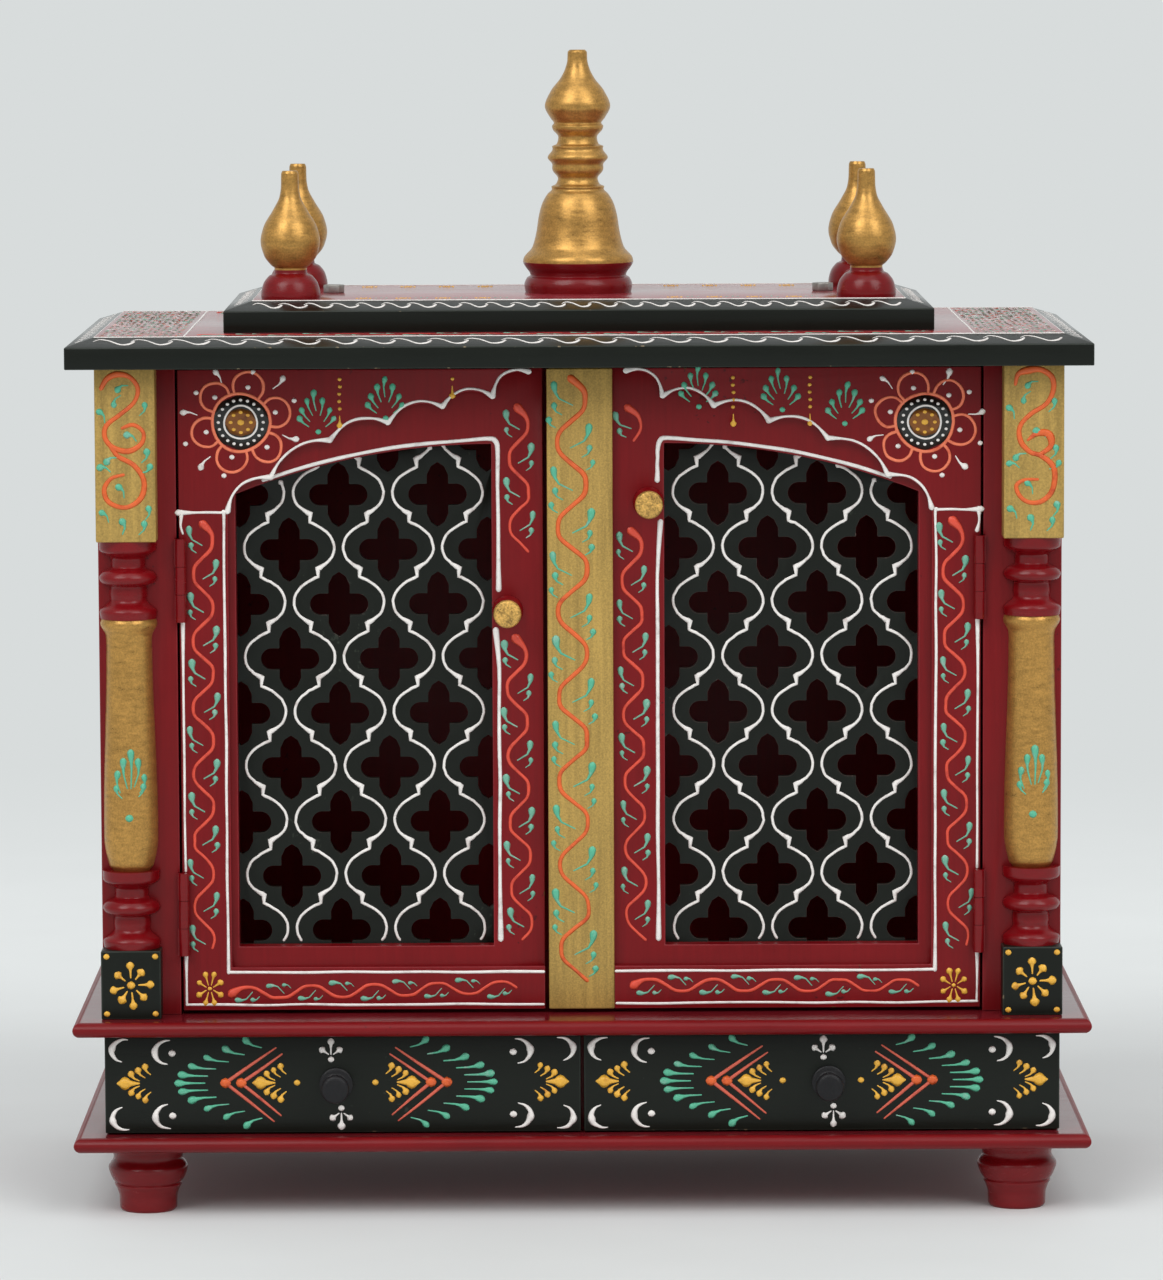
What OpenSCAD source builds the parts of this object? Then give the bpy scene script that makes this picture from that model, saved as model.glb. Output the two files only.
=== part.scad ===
// A wooden pooja mandir for a table top: a shrine cupboard with two lattice doors, two drawers,
// half-turned pilasters, turned feet and a stepped roof with turned finials.
// +Z is up and the doors face -Y. The origin is on the floor, under the middle of the whole.
// Turned pieces are outlines of [height, radius] stations joined by one even curve.

/* [Overall] */
// Width of the shelves and of the main roof
base_w = 610; // [540:5:740]
// Depth of the shelves and of the main roof
base_d = 305; // [280:5:380]
// Clear height of the cupboard, from the middle shelf to the roof
cupboard_h = 391.5; // [370:0.5:480]

/* [Shelves and case] */
// Thickness of both shelves, which is also the size of their round nosing
shelf_t = 9; // [7:0.5:11]
// How far each side of the cupboard stands in from the shelf ends
body_inset = 16.5; // [12:0.5:24]
// How far the door frame's face stands back from the nosing
face_inset = 34; // [30:0.5:40]
// How far the back stands in from the shelves' back edge
back_inset = 14; // [8:0.5:20]
// Thickness of the cupboard's side panels
side_t = 12; // [8:0.5:16]
// Thickness of the back panel
back_t = 8; // [5:0.5:12]
// Width of the two front stiles
stile_w = 47; // [44:0.5:58]
// Thickness of the front stiles
stile_t = 15; // [14:0.5:18]

/* [Feet] */
// Height of the feet
foot_h = 41; // [36:0.5:50]
// Largest diameter of a foot
foot_d = 48; // [42:0.5:56]
// From the shelf's end to the middle of a foot
foot_inset_x = 42; // [36:0.5:60]
// From the shelf's front or back to the middle of a foot
foot_inset_y = 42; // [36:0.5:60]

/* [Drawers] */
// Clear height between the two shelves
drawer_h = 61; // [54:0.5:74]
// How far the drawer fronts stand back from the nosing
drawer_front_inset = 15; // [12:0.5:18]
// How far the drawer fronts' outer ends stand in from the shelf ends
drawer_end_inset = 18.2; // [17:0.1:24]
// Thickness of the drawer fronts
drawer_front_t = 12; // [9:0.5:14]
// Gap above and below a drawer front
drawer_face_gap = 1; // [0.6:0.1:2]
// Gap between the two drawer fronts
drawer_meeting_gap = 2; // [1.5:0.1:3]
// Thickness of the drawer case's sides, back and divider
case_t = 12; // [9:0.1:15]
// Gap between a drawer front's back and the case behind it
drawer_shut_gap = 1; // [0.6:0.1:2]
// Thickness of the drawer boxes' walls
box_wall = 8; // [6:0.5:10]
// Thickness of the drawer boxes' floors
box_floor = 4; // [3:0.5:6]
// Height of the drawer boxes
box_h = 46; // [36:0.5:48]
// Length of the drawer boxes behind their fronts
box_l = 235; // [200:1:245]
// Gap between a drawer box and the case at each side
box_side_gap = 5; // [3:0.5:7]
// Gap between a drawer box and the shelf that it runs on
box_run_gap = 0.3; // [0.2:0.1:0.5]
// How far each knob stands outwards of the middle of its drawer front
drawer_knob_shift = 4; // [0:0.5:10]
// How far the drawer knobs stand out
drawer_knob_reach = 22.5; // [18:0.5:26]
// Largest diameter of the drawer knobs
drawer_knob_d = 20; // [16:0.5:24]

/* [Roof] */
// Thickness of both roof boards
roof_t = 18.5; // [16:0.5:22]
// Height of the roof boards' upright edge, below the bevel
roof_edge = 13; // [10:0.5:14]
// Width of the bevel along the roof boards' edges
roof_bevel = 17; // [12:0.5:22]
// Width of the upper roof board
upper_w = 426; // [400:1:460]
// Depth of the upper roof board
upper_d = 204; // [190:1:230]
// From the middle to the corner finials, sideways
finial_x = 174; // [160:0.5:178]
// From the middle to the corner finials, front to back
finial_y = 62.5; // [50:0.5:65]
// Height of the corner finials
finial_h = 77; // [64:0.5:92]
// Largest diameter of the corner finials
finial_d = 36; // [30:0.5:42]
// Height of the middle finial
crown_h = 148; // [124:0.5:178]
// Largest diameter of the middle finial
crown_d = 67.6; // [56:0.2:78]
// From the middle to the two roof bolts, sideways
bolt_x = 150; // [140:0.5:155]
// Size of the roof bolts' nuts across their corners
bolt_d = 13; // [10:0.5:16]
// Height of the roof bolts above the board
bolt_h = 5; // [4:0.5:7]

/* [Pilasters] */
// Width of the pilasters, which stand out by half of it
pilaster_w = 36; // [32:0.5:40]
// Height of the square block at the top
top_block_h = 104; // [90:0.5:120]
// Height of the square block at the bottom
low_block_h = 41.5; // [34:0.5:50]
// Height of each stack of turned rings
ring_h = 47; // [42:0.5:54]

/* [Doors] */
// Gap above and below a door
door_gap_z = 2.4; // [1.5:0.1:4]
// Gap between a door's hinge edge and its stile
door_gap_hinge = 1.5; // [1.2:0.1:2.5]
// Gap between the left door and the cover strip
door_gap_meet = 2.4; // [2:0.1:4]
// Thickness of the doors' boards
board_t = 12; // [9.5:0.1:14.5]
// Thickness of the scalloped overlay on each door
overlay_t = 5; // [3:0.5:6]
// Thickness of the lattice behind each door's window
lattice_t = 5; // [3:0.5:6]
// Width of the cover strip on the right door
strip_w = 39.4; // [34:0.2:46]
// Thickness of the cover strip
strip_t = 6; // [5:0.5:8]
// Width of the overlay along the hinge edge
overlay_stile = 29.4; // [24:0.2:32]
// Height of the overlay along the door's bottom
overlay_rail = 26; // [20:0.5:32]
// How far a scallop bulges above the straight line between its points
scallop_bulge = 7.3; // [5:0.1:9]
// From the left door's hinge edge to its window
left_window_side = 33.7; // [33:0.1:40]
// From the right door's hinge edge to its window
right_window_side = 37; // [33:0.1:40]
// From the meeting line to each window
window_meet = 30.8; // [26:0.1:36]
// From the door's bottom to its window
window_low = 38; // [32:0.5:46]
// From the door's top to the top of its window
window_drop = 45.4; // [40:0.2:60]
// Rise of the window's arched top
window_rise = 29.6; // [20:0.2:40]
// How far the lattice laps behind the board around the window
lattice_lap = 9; // [6:0.5:12]
// From one column of lattice holes to the next
hole_pitch_x = 29.8; // [28:0.1:34]
// From one lattice hole to the next in its column
hole_pitch_z = 66; // [62:0.5:74]
// Width of a lattice hole
hole_w = 35; // [30:0.5:37]
// Height of a lattice hole
hole_h = 39; // [34:0.5:42]
// Width of the arms of a lattice hole
hole_arm = 12.8; // [10:0.1:14]
// Height of the points of a lattice hole's upright arm
hole_tip = 7.7; // [5:0.1:9]
// From the window's meeting side to the first column of holes
hole_start_x = 2.7; // [0:0.1:15]
// From the window's bottom to the lowest hole of the low columns
hole_start_z = 8.1; // [0:0.1:20]
// From the left door's bottom up to its knob
left_knob_up = 241; // [200:1:300]
// From the right door's bottom up to its knob
right_knob_up = 306; // [200:1:340]
// From the left door's free edge to its knob
left_knob_in = 21.5; // [18:0.1:26]
// From the cover strip to the right door's knob
right_knob_in = 21.5; // [18:0.1:22]
// How far the door knobs stand out of the board
door_knob_reach = 23; // [18:0.5:26]
// Largest diameter of the door knobs
door_knob_d = 19; // [15:0.5:22]

/* [Hinges] */
// Height of the hinges
hinge_h = 50; // [40:0.5:60]
// Diameter of the hinge knuckles
knuckle_d = 6.3; // [5.5:0.1:6.8]
// Diameter of the hinge pins
pin_d = 3; // [2.5:0.1:3.4]
// Radial clearance of the hinge pins
pin_clear = 0.05; // [0.02:0.01:0.1]
// Gap between one knuckle and the next
knuckle_gap = 0.3; // [0.2:0.05:0.6]
// Thickness of the hinge leaves
leaf_t = 1.2; // [0.8:0.1:1.2]
// Depth of the hinge leaves, front to back
leaf_d = 14; // [10:0.5:14]
// From the door's bottom up to the middle of the lower hinge
low_hinge_up = 59; // [50:1:90]
// From the door's top down to the middle of the upper hinge
top_hinge_down = 126; // [90:1:150]
// How far the hinge pins stand inwards of the stile's edge
pin_in = 2.5; // [2:0.1:3]
// Gap between the knuckles and the face behind them
knuckle_stand = 0.35; // [0.2:0.05:0.6]

/* [Hidden] */

maroon = "#7a1822";
black_green = "#1e2824";
gold = "#b28c46";
iron = "#3a3a3a";

left = -1;
right = 1;
swell_steps = 3;     // flats from one station of a turned outline to the next
arc_steps = 8;       // flats along one scallop
cut = 1;             // how far a cutting shape runs past what it cuts
$fn = 48;

// Front to back: every place is measured from the nosing's front plane.
nose_y = -base_d / 2 + max(0, drawer_knob_reach - drawer_front_inset) / 2;
mid_y = nose_y + base_d / 2;
face_y = nose_y + face_inset;
board_y = face_y + overlay_t;
lattice_y = board_y + board_t;
back_y = nose_y + base_d - back_inset;
drawer_y = nose_y + drawer_front_inset;
case_y = drawer_y + drawer_front_t + drawer_shut_gap;

// Bottom to top
low_top = foot_h + shelf_t;
mid_low = low_top + drawer_h;
mid_top = mid_low + shelf_t;
roof_low = mid_top + cupboard_h;
upper_low = roof_low + roof_t;
upper_top = upper_low + roof_t;

// Cupboard and doors
body_w = base_w - 2 * body_inset;
opening_w = body_w - 2 * stile_w;
door_low = mid_top + door_gap_z;
door_h = cupboard_h - 2 * door_gap_z;
hinge_edge_x = opening_w / 2 - door_gap_hinge;
left_door_w = hinge_edge_x - strip_w / 2 - door_gap_meet;
right_door_w = hinge_edge_x + strip_w / 2;
pin_x = opening_w / 2 - pin_in;
pin_y = face_y - knuckle_stand - knuckle_d / 2;
hinge_mids = [door_low + low_hinge_up, door_low + door_h - top_hinge_down];
knuckle_h = (hinge_h - 2 * knuckle_gap) / 3;

// Drawer case
case_w = base_w - 2 * drawer_end_inset;
bay_w = case_w / 2 - 1.5 * case_t;
bay_mid_x = case_t / 2 + bay_w / 2;
front_w = case_w / 2 - drawer_meeting_gap / 2;
front_mid_x = drawer_meeting_gap / 2 + front_w / 2;
box_w = bay_w - 2 * box_side_gap;

// Points of the scallops: across from the hinge edge, and down from the door's top.
// They are set for a door that is 218 wide to its meeting line, and spread with the width.
scallop_span = 218;
scallop_points = [[55.3, 66], [90.8, 44], [125.7, 33.5], [158.2, 24], [188.3, 18], [209.9, 3.2]];
scallop_start_drop = 86;

// Where a lattice hole's point is widest, as shares of half its arm and of its point's height.
tip_brow = [0.62, 0.34];

// Turned outlines: [height, radius] on a piece of unit height and unit largest radius.
foot_line = [
    [0, 0.68], [0.04, 0.72], [0.2, 0.73], [0.32, 0.79], [0.395, 0.85], [0.41, 0.83], [0.43, 0.86],
    [0.5, 0.93], [0.64, 1], [0.79, 0.87], [0.81, 0.87], [0.93, 0.97], [1, 1]];
finial_line = [
    [0, 0.98], [0.03, 1], [0.11, 0.93], [0.18, 0.72], [0.2, 0.56], [0.24, 0.54], [0.26, 0.64], [0.34, 0.89],
    [0.45, 1], [0.56, 0.9], [0.7, 0.56], [0.8, 0.35], [0.88, 0.3], [0.975, 0.29], [1, 0.25]];
crown_line = [
    [0, 0.96], [0.03, 0.98], [0.06, 0.93], [0.07, 0.87], [0.08, 0.88], [0.105, 0.96], [0.125, 1],
    [0.14, 0.99], [0.187, 0.83], [0.25, 0.755], [0.316, 0.71], [0.368, 0.645], [0.406, 0.55],
    [0.426, 0.47], [0.436, 0.48], [0.446, 0.4], [0.47, 0.36], [0.502, 0.455], [0.514, 0.465], [0.526, 0.46],
    [0.556, 0.547], [0.592, 0.455], [0.602, 0.465], [0.612, 0.38], [0.64, 0.35], [0.674, 0.455],
    [0.686, 0.465], [0.698, 0.43], [0.718, 0.49], [0.768, 0.593], [0.832, 0.48], [0.884, 0.305],
    [0.923, 0.22], [0.96, 0.18], [0.99, 0.175], [1, 0.14]];
ring_line = [
    [0, 0.94], [0.09, 0.97], [0.24, 0.62], [0.31, 0.64], [0.41, 0.62], [0.46, 0.9], [0.52, 0.97],
    [0.6, 0.86], [0.66, 0.58], [0.76, 0.58], [0.88, 0.96], [1, 0.97]];
shaft_line = [[0, 0.62], [0.02, 0.74], [0.13, 0.9], [0.2, 0.9], [0.9, 0.76], [0.93, 0.77], [0.98, 0.95], [1, 0.9]];
door_knob_line = [[0, 1], [0.08, 0.97], [0.3, 0.56], [0.55, 0.62], [0.78, 0.86], [0.92, 0.88], [0.985, 0.8], [1, 0.7]];
drawer_knob_line = [[0, 1], [0.14, 1], [0.2, 0.62], [0.5, 0.55], [0.72, 0.8], [0.9, 0.85], [0.975, 0.74], [1, 0.6]];

function slope(line, i) = (line[i + 1][1] - line[i][1]) / (line[i + 1][0] - line[i][0]);

// How fast an outline widens at a station; it is upright where it turns back, so nothing overshoots.
function lean(line, i) =
    i == 0 ? slope(line, 0)
    : i == len(line) - 1 ? slope(line, i - 1)
    : slope(line, i - 1) * slope(line, i) <= 0 ? 0
    : 2 * slope(line, i - 1) * slope(line, i) / (slope(line, i - 1) + slope(line, i));

// Radius of an outline at a share t of the way from station i to the next.
function swell(line, i, t) =
    let (long = line[i + 1][0] - line[i][0])
    (2 * t * t * t - 3 * t * t + 1) * line[i][1] + (t * t * t - 2 * t * t + t) * long * lean(line, i)
    + (3 * t * t - 2 * t * t * t) * line[i + 1][1] + (t * t * t - t * t) * long * lean(line, i + 1);

// The stations of a turned outline as points, at height h and largest radius r.
function turned_points(line, h, r) = [
    for (i = [0 : len(line) - 2], k = [0 : swell_steps - 1])
        let (t = k / swell_steps)
        [r * swell(line, i, t), h * (line[i][0] + (line[i + 1][0] - line[i][0]) * t)]];

// Points of an arc from a to b, without b, which bulges to the left of the way from a to b.
function arc_points(a, b, bulge) =
    let (chord = norm(b - a), rise = abs(bulge), r = (chord * chord / 4 + rise * rise) / (2 * rise),
         along = (b - a) / chord, across = [-along[1], along[0]],
         middle = (a + b) / 2 - across * (r - rise), half = asin(chord / (2 * r)))
    [for (k = [0 : arc_steps - 1])
        let (q = -half + 2 * half * k / arc_steps)
        middle + r * (along * sin(q) + across * cos(q))];

module turned_half_outline(line, h, r) {
    polygon(concat([[0, 0]], turned_points(line, h, r), [[r * line[len(line) - 1][1], h], [0, h]]));
}

module turned(line, h, r) {
    rotate_extrude()
        turned_half_outline(line, h, r);
}

// A block given by its lowest and highest corners.
module block(low, high) {
    translate(low)
        cube(high - low);
}

// A piece drawn for the right side is mirrored to the left.
module on_side(side) {
    if (side == left)
        mirror([1, 0, 0]) children();
    else
        children();
}

// Feet and shelves

module foot(side, end) {
    color(maroon)
        translate([side * (base_w / 2 - foot_inset_x), mid_y + end * (base_d / 2 - foot_inset_y), 0])
            turned(foot_line, foot_h, foot_d / 2);
}

module nosing_profile(w) {
    translate([-w / 2 + shelf_t / 2, 0])
        circle(d = shelf_t);
    translate([w / 2 - shelf_t / 2, 0])
        circle(d = shelf_t);
    square([w - shelf_t, shelf_t], center = true);
}

// A board whose edges are rounded to half circles and meet in mitred corners.
module shelf(low) {
    color(maroon)
        translate([0, mid_y, low + shelf_t / 2])
            intersection() {
                rotate([90, 0, 0])
                    linear_extrude(base_d, center = true)
                        nosing_profile(base_w);
                rotate([90, 0, 90])
                    linear_extrude(base_w, center = true)
                        nosing_profile(base_d);
            }
}

// Drawer case and drawers

module case_side(side) {
    color(maroon)
        on_side(side)
            block([case_w / 2 - case_t, case_y, low_top], [case_w / 2, back_y, mid_low]);
}

module case_back() {
    color(maroon)
        block([-case_w / 2 + case_t, back_y - case_t, low_top], [case_w / 2 - case_t, back_y, mid_low]);
}

module case_divider() {
    color(maroon)
        block([-case_t / 2, case_y, low_top], [case_t / 2, back_y - case_t, mid_low]);
}

module drawer_front(side) {
    color(black_green)
        on_side(side)
            block([front_mid_x - front_w / 2, drawer_y, low_top + drawer_face_gap],
                  [front_mid_x + front_w / 2, drawer_y + drawer_front_t, mid_low - drawer_face_gap]);
}

module drawer_box(side) {
    x0 = bay_mid_x - box_w / 2;
    x1 = bay_mid_x + box_w / 2;
    y0 = drawer_y + drawer_front_t;
    z0 = low_top + box_run_gap;
    color("#8c6a44")
        on_side(side)
            difference() {
                block([x0, y0, z0], [x1, y0 + box_l, z0 + box_h]);
                block([x0 + box_wall, y0 + box_wall, z0 + box_floor],
                      [x1 - box_wall, y0 + box_l - box_wall, z0 + box_h + cut]);
            }
}

module knob(line, d, reach) {
    rotate([90, 0, 0])
        turned(line, reach, d / 2);
}

module drawer_knob(side) {
    color(iron)
        translate([side * (front_mid_x + drawer_knob_shift), drawer_y, (low_top + mid_low) / 2])
            knob(drawer_knob_line, drawer_knob_d, drawer_knob_reach);
}

// Cupboard

module side_panel(side) {
    color(maroon)
        on_side(side)
            block([body_w / 2 - side_t, face_y + stile_t, mid_top], [body_w / 2, back_y - back_t, roof_low]);
}

module back_panel() {
    color(maroon)
        block([-body_w / 2, back_y - back_t, mid_top], [body_w / 2, back_y, roof_low]);
}

module stile(side) {
    color(maroon)
        on_side(side)
            difference() {
                block([opening_w / 2, face_y, mid_top], [body_w / 2, face_y + stile_t, roof_low]);
                for (z = hinge_mids)
                    block([opening_w / 2 - cut, face_y - cut, z - hinge_h / 2],
                          [opening_w / 2 + leaf_t, face_y + leaf_d, z + hinge_h / 2]);
            }
}

// The front half of a turned piece, flat at the back.
module half_turned(line, h, r) {
    rotate([0, 0, 180])
        rotate_extrude(angle = 180)
            turned_half_outline(line, h, r);
}

module pilaster(side) {
    shaft_h = cupboard_h - top_block_h - low_block_h - 2 * ring_h;
    r = pilaster_w / 2;
    color(gold)
        translate([side * (body_w / 2 - r), face_y, mid_top]) {
            translate([-r, -r, 0])
                cube([2 * r, r, low_block_h]);
            translate([0, 0, low_block_h])
                half_turned(ring_line, ring_h, r);
            translate([0, 0, low_block_h + ring_h])
                half_turned(shaft_line, shaft_h, r);
            translate([0, 0, low_block_h + ring_h + shaft_h])
                half_turned(ring_line, ring_h, r);
            translate([-r, -r, cupboard_h - top_block_h])
                cube([2 * r, r, top_block_h]);
        }
}

// Hinges: the stile's leaf carries the end knuckles and the pin, the door's leaf the middle one.

module knuckle(z_low) {
    translate([pin_x, pin_y, z_low])
        cylinder(d = knuckle_d, h = knuckle_h);
}

// A strap from the leaf's plate, in front of the door edge, to its knuckle.
module strap(x_low, z_low) {
    block([x_low, pin_y, z_low], [x_low + leaf_t, face_y + leaf_d, z_low + knuckle_h]);
}

module stile_hinge(z) {
    block([opening_w / 2, face_y, z - hinge_h / 2], [opening_w / 2 + leaf_t, face_y + leaf_d, z + hinge_h / 2]);
    for (z_low = [z - hinge_h / 2, z + hinge_h / 2 - knuckle_h]) {
        strap(opening_w / 2, z_low);
        knuckle(z_low);
    }
    translate([pin_x, pin_y, z - hinge_h / 2])
        cylinder(d = pin_d, h = hinge_h);
}

module door_hinge(z) {
    difference() {
        union() {
            block([hinge_edge_x - leaf_t, face_y, z - hinge_h / 2], [hinge_edge_x, face_y + leaf_d, z + hinge_h / 2]);
            strap(hinge_edge_x - leaf_t, z - knuckle_h / 2);
            knuckle(z - knuckle_h / 2);
        }
        translate([pin_x, pin_y, z - hinge_h / 2])
            cylinder(d = pin_d + 2 * pin_clear, h = hinge_h);
    }
}

module stile_hinges(side) {
    color(maroon)
        on_side(side)
            for (z = hinge_mids)
                stile_hinge(z);
}

module door_hinges(side) {
    color(maroon)
        on_side(side)
            for (z = hinge_mids)
                door_hinge(z);
}

// Doors are drawn flat: across from the hinge edge and up from the door's bottom.
// stand_up puts a flat shape in its place, t thick, with its front face at y.

module stand_up(side, y, t) {
    on_side(side)
        translate([hinge_edge_x, y + t, door_low])
            mirror([1, 0, 0])
                rotate([90, 0, 0])
                    linear_extrude(t)
                        children();
}

function door_w(side) = side == left ? left_door_w : right_door_w;
function seen_w(side) = side == left ? left_door_w : right_door_w - strip_w;
function window_x0(side) = side == left ? left_window_side : right_window_side;
function window_x1(side) = seen_w(side) - window_meet;

// The window, with margin all round: upright sides and an arched top that is highest at the meeting side.
module window_shape(side, margin) {
    x0 = window_x0(side);
    x1 = window_x1(side);
    top = door_h - window_drop;
    w = x1 - x0;
    r = (w * w + window_rise * window_rise) / (2 * window_rise);
    intersection() {
        translate([x0 - margin, window_low - margin])
            square([w + 2 * margin, door_h]);
        translate([x1, top - r])
            circle(r + margin, $fn = 180);
    }
}

module hinge_pockets() {
    for (z = hinge_mids)
        translate([-cut, z - door_low - hinge_h / 2])
            square([leaf_t + cut, hinge_h]);
}

module door_board(side) {
    pocket_d = leaf_d - overlay_t;
    color(maroon)
        difference() {
            stand_up(side, board_y, board_t)
                difference() {
                    square([door_w(side), door_h]);
                    window_shape(side, 0);
                }
            stand_up(side, board_y - cut, pocket_d + cut)
                hinge_pockets();
        }
}

function scallop_at(i, w) = [
    overlay_stile + (scallop_points[i][0] - overlay_stile) * (w - overlay_stile) / (scallop_span - overlay_stile),
    door_h - scallop_points[i][1]];

module overlay_shape(w) {
    start = [overlay_stile, door_h - scallop_start_drop];
    stops = concat([start], [for (i = [0 : len(scallop_points) - 1]) scallop_at(i, w)]);
    scallops = [for (i = [0 : len(stops) - 2]) each arc_points(stops[i], stops[i + 1], scallop_bulge)];
    end = stops[len(stops) - 1];
    polygon(concat(
        [[0, 0], [w, 0], [w, overlay_rail], [overlay_stile, overlay_rail]],
        scallops,
        [end, [end[0], door_h], [0, door_h]]));
}

module door_overlay(side) {
    color(maroon)
        difference() {
            stand_up(side, face_y, overlay_t)
                overlay_shape(seen_w(side));
            stand_up(side, face_y - cut, overlay_t + 2 * cut)
                hinge_pockets();
        }
}

// A cross-shaped hole: a bar with round ends across, and a bar with pointed ends upright.
module lattice_hole() {
    arm = hole_arm / 2;
    end = hole_h / 2;
    neck = end - hole_tip;
    brow_x = arm * tip_brow[0];
    brow_y = end - hole_tip * tip_brow[1];
    square([hole_w - hole_arm, hole_arm], center = true);
    for (s = [-1, 1])
        translate([s * (hole_w - hole_arm) / 2, 0])
            circle(d = hole_arm, $fn = 24);
    polygon([
        [-arm, -neck], [-brow_x, -brow_y], [0, -end], [brow_x, -brow_y], [arm, -neck],
        [arm, neck], [brow_x, brow_y], [0, end], [-brow_x, brow_y], [-arm, neck]]);
}

// Holes stand in columns from the window's meeting side, with every second column half a pitch lower.
module lattice_holes(side) {
    columns = ceil((window_x1(side) - window_x0(side)) / hole_pitch_x);
    rows = ceil((door_h - window_drop - window_low) / hole_pitch_z);
    for (c = [0 : columns], row = [-1 : rows])
        translate([window_x1(side) - hole_start_x - c * hole_pitch_x,
                   window_low + hole_start_z + hole_pitch_z * (row + (c % 2 == 0 ? 0.5 : 0))])
            lattice_hole();
}

module door_lattice(side) {
    color(black_green)
        stand_up(side, lattice_y, lattice_t)
            difference() {
                window_shape(side, lattice_lap);
                intersection() {
                    lattice_holes(side);
                    window_shape(side, 0);
                }
            }
}

module door_strip() {
    color(gold)
        block([-strip_w / 2, board_y - strip_t, door_low], [strip_w / 2, board_y, door_low + door_h]);
}

module door_knob(side, in, up) {
    color(gold)
        translate([side * (hinge_edge_x - seen_w(side) + in), board_y, door_low + up])
            knob(door_knob_line, door_knob_d, door_knob_reach);
}

// Roof

module bevelled_profile(w) {
    polygon([
        [-w / 2, 0], [w / 2, 0], [w / 2, roof_edge], [w / 2 - roof_bevel, roof_t],
        [-w / 2 + roof_bevel, roof_t], [-w / 2, roof_edge]]);
}

module roof_board(w, d, low) {
    color(black_green)
        translate([0, mid_y, low])
            intersection() {
                rotate([90, 0, 0])
                    linear_extrude(d, center = true)
                        bevelled_profile(w);
                rotate([90, 0, 90])
                    linear_extrude(w, center = true)
                        bevelled_profile(d);
            }
}

module finial(side, end) {
    color(gold)
        translate([side * finial_x, mid_y + end * finial_y, upper_top])
            turned(finial_line, finial_h, finial_d / 2);
}

module crown() {
    color(gold)
        translate([0, mid_y, upper_top])
            turned(crown_line, crown_h, crown_d / 2);
}

module roof_bolts() {
    color(iron)
        for (side = [left, right])
            translate([side * bolt_x, mid_y, upper_top])
                cylinder(d = bolt_d, h = bolt_h, $fn = 6);
}

foot(left, -1);  // foot_front_left
foot(right, -1);  // foot_front_right
foot(left, 1);  // foot_back_left
foot(right, 1);  // foot_back_right
shelf(foot_h);  // bottom_shelf
shelf(mid_low);  // middle_shelf
case_side(left);  // drawer_case_left
case_side(right);  // drawer_case_right
case_back();  // drawer_case_back
case_divider();  // drawer_divider
drawer_front(left);  // drawer_left_front
drawer_box(left);  // drawer_left_box
drawer_knob(left);  // drawer_left_knob
drawer_front(right);  // drawer_right_front
drawer_box(right);  // drawer_right_box
drawer_knob(right);  // drawer_right_knob
side_panel(left);  // side_panel_left
side_panel(right);  // side_panel_right
back_panel();
stile(left);  // stile_left
stile(right);  // stile_right
pilaster(left);  // pilaster_left
pilaster(right);  // pilaster_right
stile_hinges(left);  // stile_hinges_left
stile_hinges(right);  // stile_hinges_right
door_board(left);  // door_left_board
door_overlay(left);  // door_left_overlay
door_lattice(left);  // door_left_lattice
door_knob(left, left_knob_in, left_knob_up);  // door_left_knob
door_hinges(left);  // door_left_hinges
door_board(right);  // door_right_board
door_overlay(right);  // door_right_overlay
door_lattice(right);  // door_right_lattice
door_knob(right, right_knob_in, right_knob_up);  // door_right_knob
door_hinges(right);  // door_right_hinges
door_strip();  // door_right_strip
roof_board(base_w, base_d, roof_low);  // main_roof
roof_board(upper_w, upper_d, upper_low);  // upper_roof
crown();  // crown_finial
finial(left, -1);  // finial_front_left
finial(right, -1);  // finial_front_right
finial(left, 1);  // finial_back_left
finial(right, 1);  // finial_back_right
roof_bolts();
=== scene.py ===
"""A wooden pooja mandir: brushed enamel, turned finials and raised paint lines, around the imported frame.

Lengths are in millimetres on the drawing sheets and in metres everywhere else.
"""
import math
import random

import bpy
from mathutils import Matrix, Vector


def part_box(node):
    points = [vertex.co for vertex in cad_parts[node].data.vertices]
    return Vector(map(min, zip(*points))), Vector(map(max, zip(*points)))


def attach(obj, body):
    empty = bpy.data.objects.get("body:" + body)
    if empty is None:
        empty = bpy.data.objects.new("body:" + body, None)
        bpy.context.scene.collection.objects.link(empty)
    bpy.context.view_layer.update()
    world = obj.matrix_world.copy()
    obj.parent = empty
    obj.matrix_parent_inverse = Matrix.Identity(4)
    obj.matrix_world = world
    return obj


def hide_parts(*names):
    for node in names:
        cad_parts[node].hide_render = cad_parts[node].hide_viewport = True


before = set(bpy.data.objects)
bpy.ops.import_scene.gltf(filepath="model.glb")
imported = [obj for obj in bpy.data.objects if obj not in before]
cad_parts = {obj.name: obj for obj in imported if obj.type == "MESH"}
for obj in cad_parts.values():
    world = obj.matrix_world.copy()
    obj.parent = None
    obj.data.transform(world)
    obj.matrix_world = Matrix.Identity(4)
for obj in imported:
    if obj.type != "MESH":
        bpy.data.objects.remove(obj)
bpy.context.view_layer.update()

MM = 0.001
LEFT = -1
RIGHT = 1
SIDES = {LEFT: "left", RIGHT: "right"}
hand = random.Random(11)


# ---------------------------------------------------------------- working by hand

def pick(*pieces):
    """Selects these pieces and nothing else; the first is the active one."""
    bpy.ops.object.select_all(action="DESELECT")
    for piece in pieces:
        piece.select_set(True)
    bpy.context.view_layer.objects.active = pieces[0]


def edit_all():
    bpy.ops.object.mode_set(mode="EDIT")
    bpy.ops.mesh.select_all(action="SELECT")


def edit_done():
    bpy.ops.object.mode_set(mode="OBJECT")


def put(piece, matrix):
    """Gives a finished shape its place, in its mesh."""
    piece.data.transform(matrix)
    piece.data.update()


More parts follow.
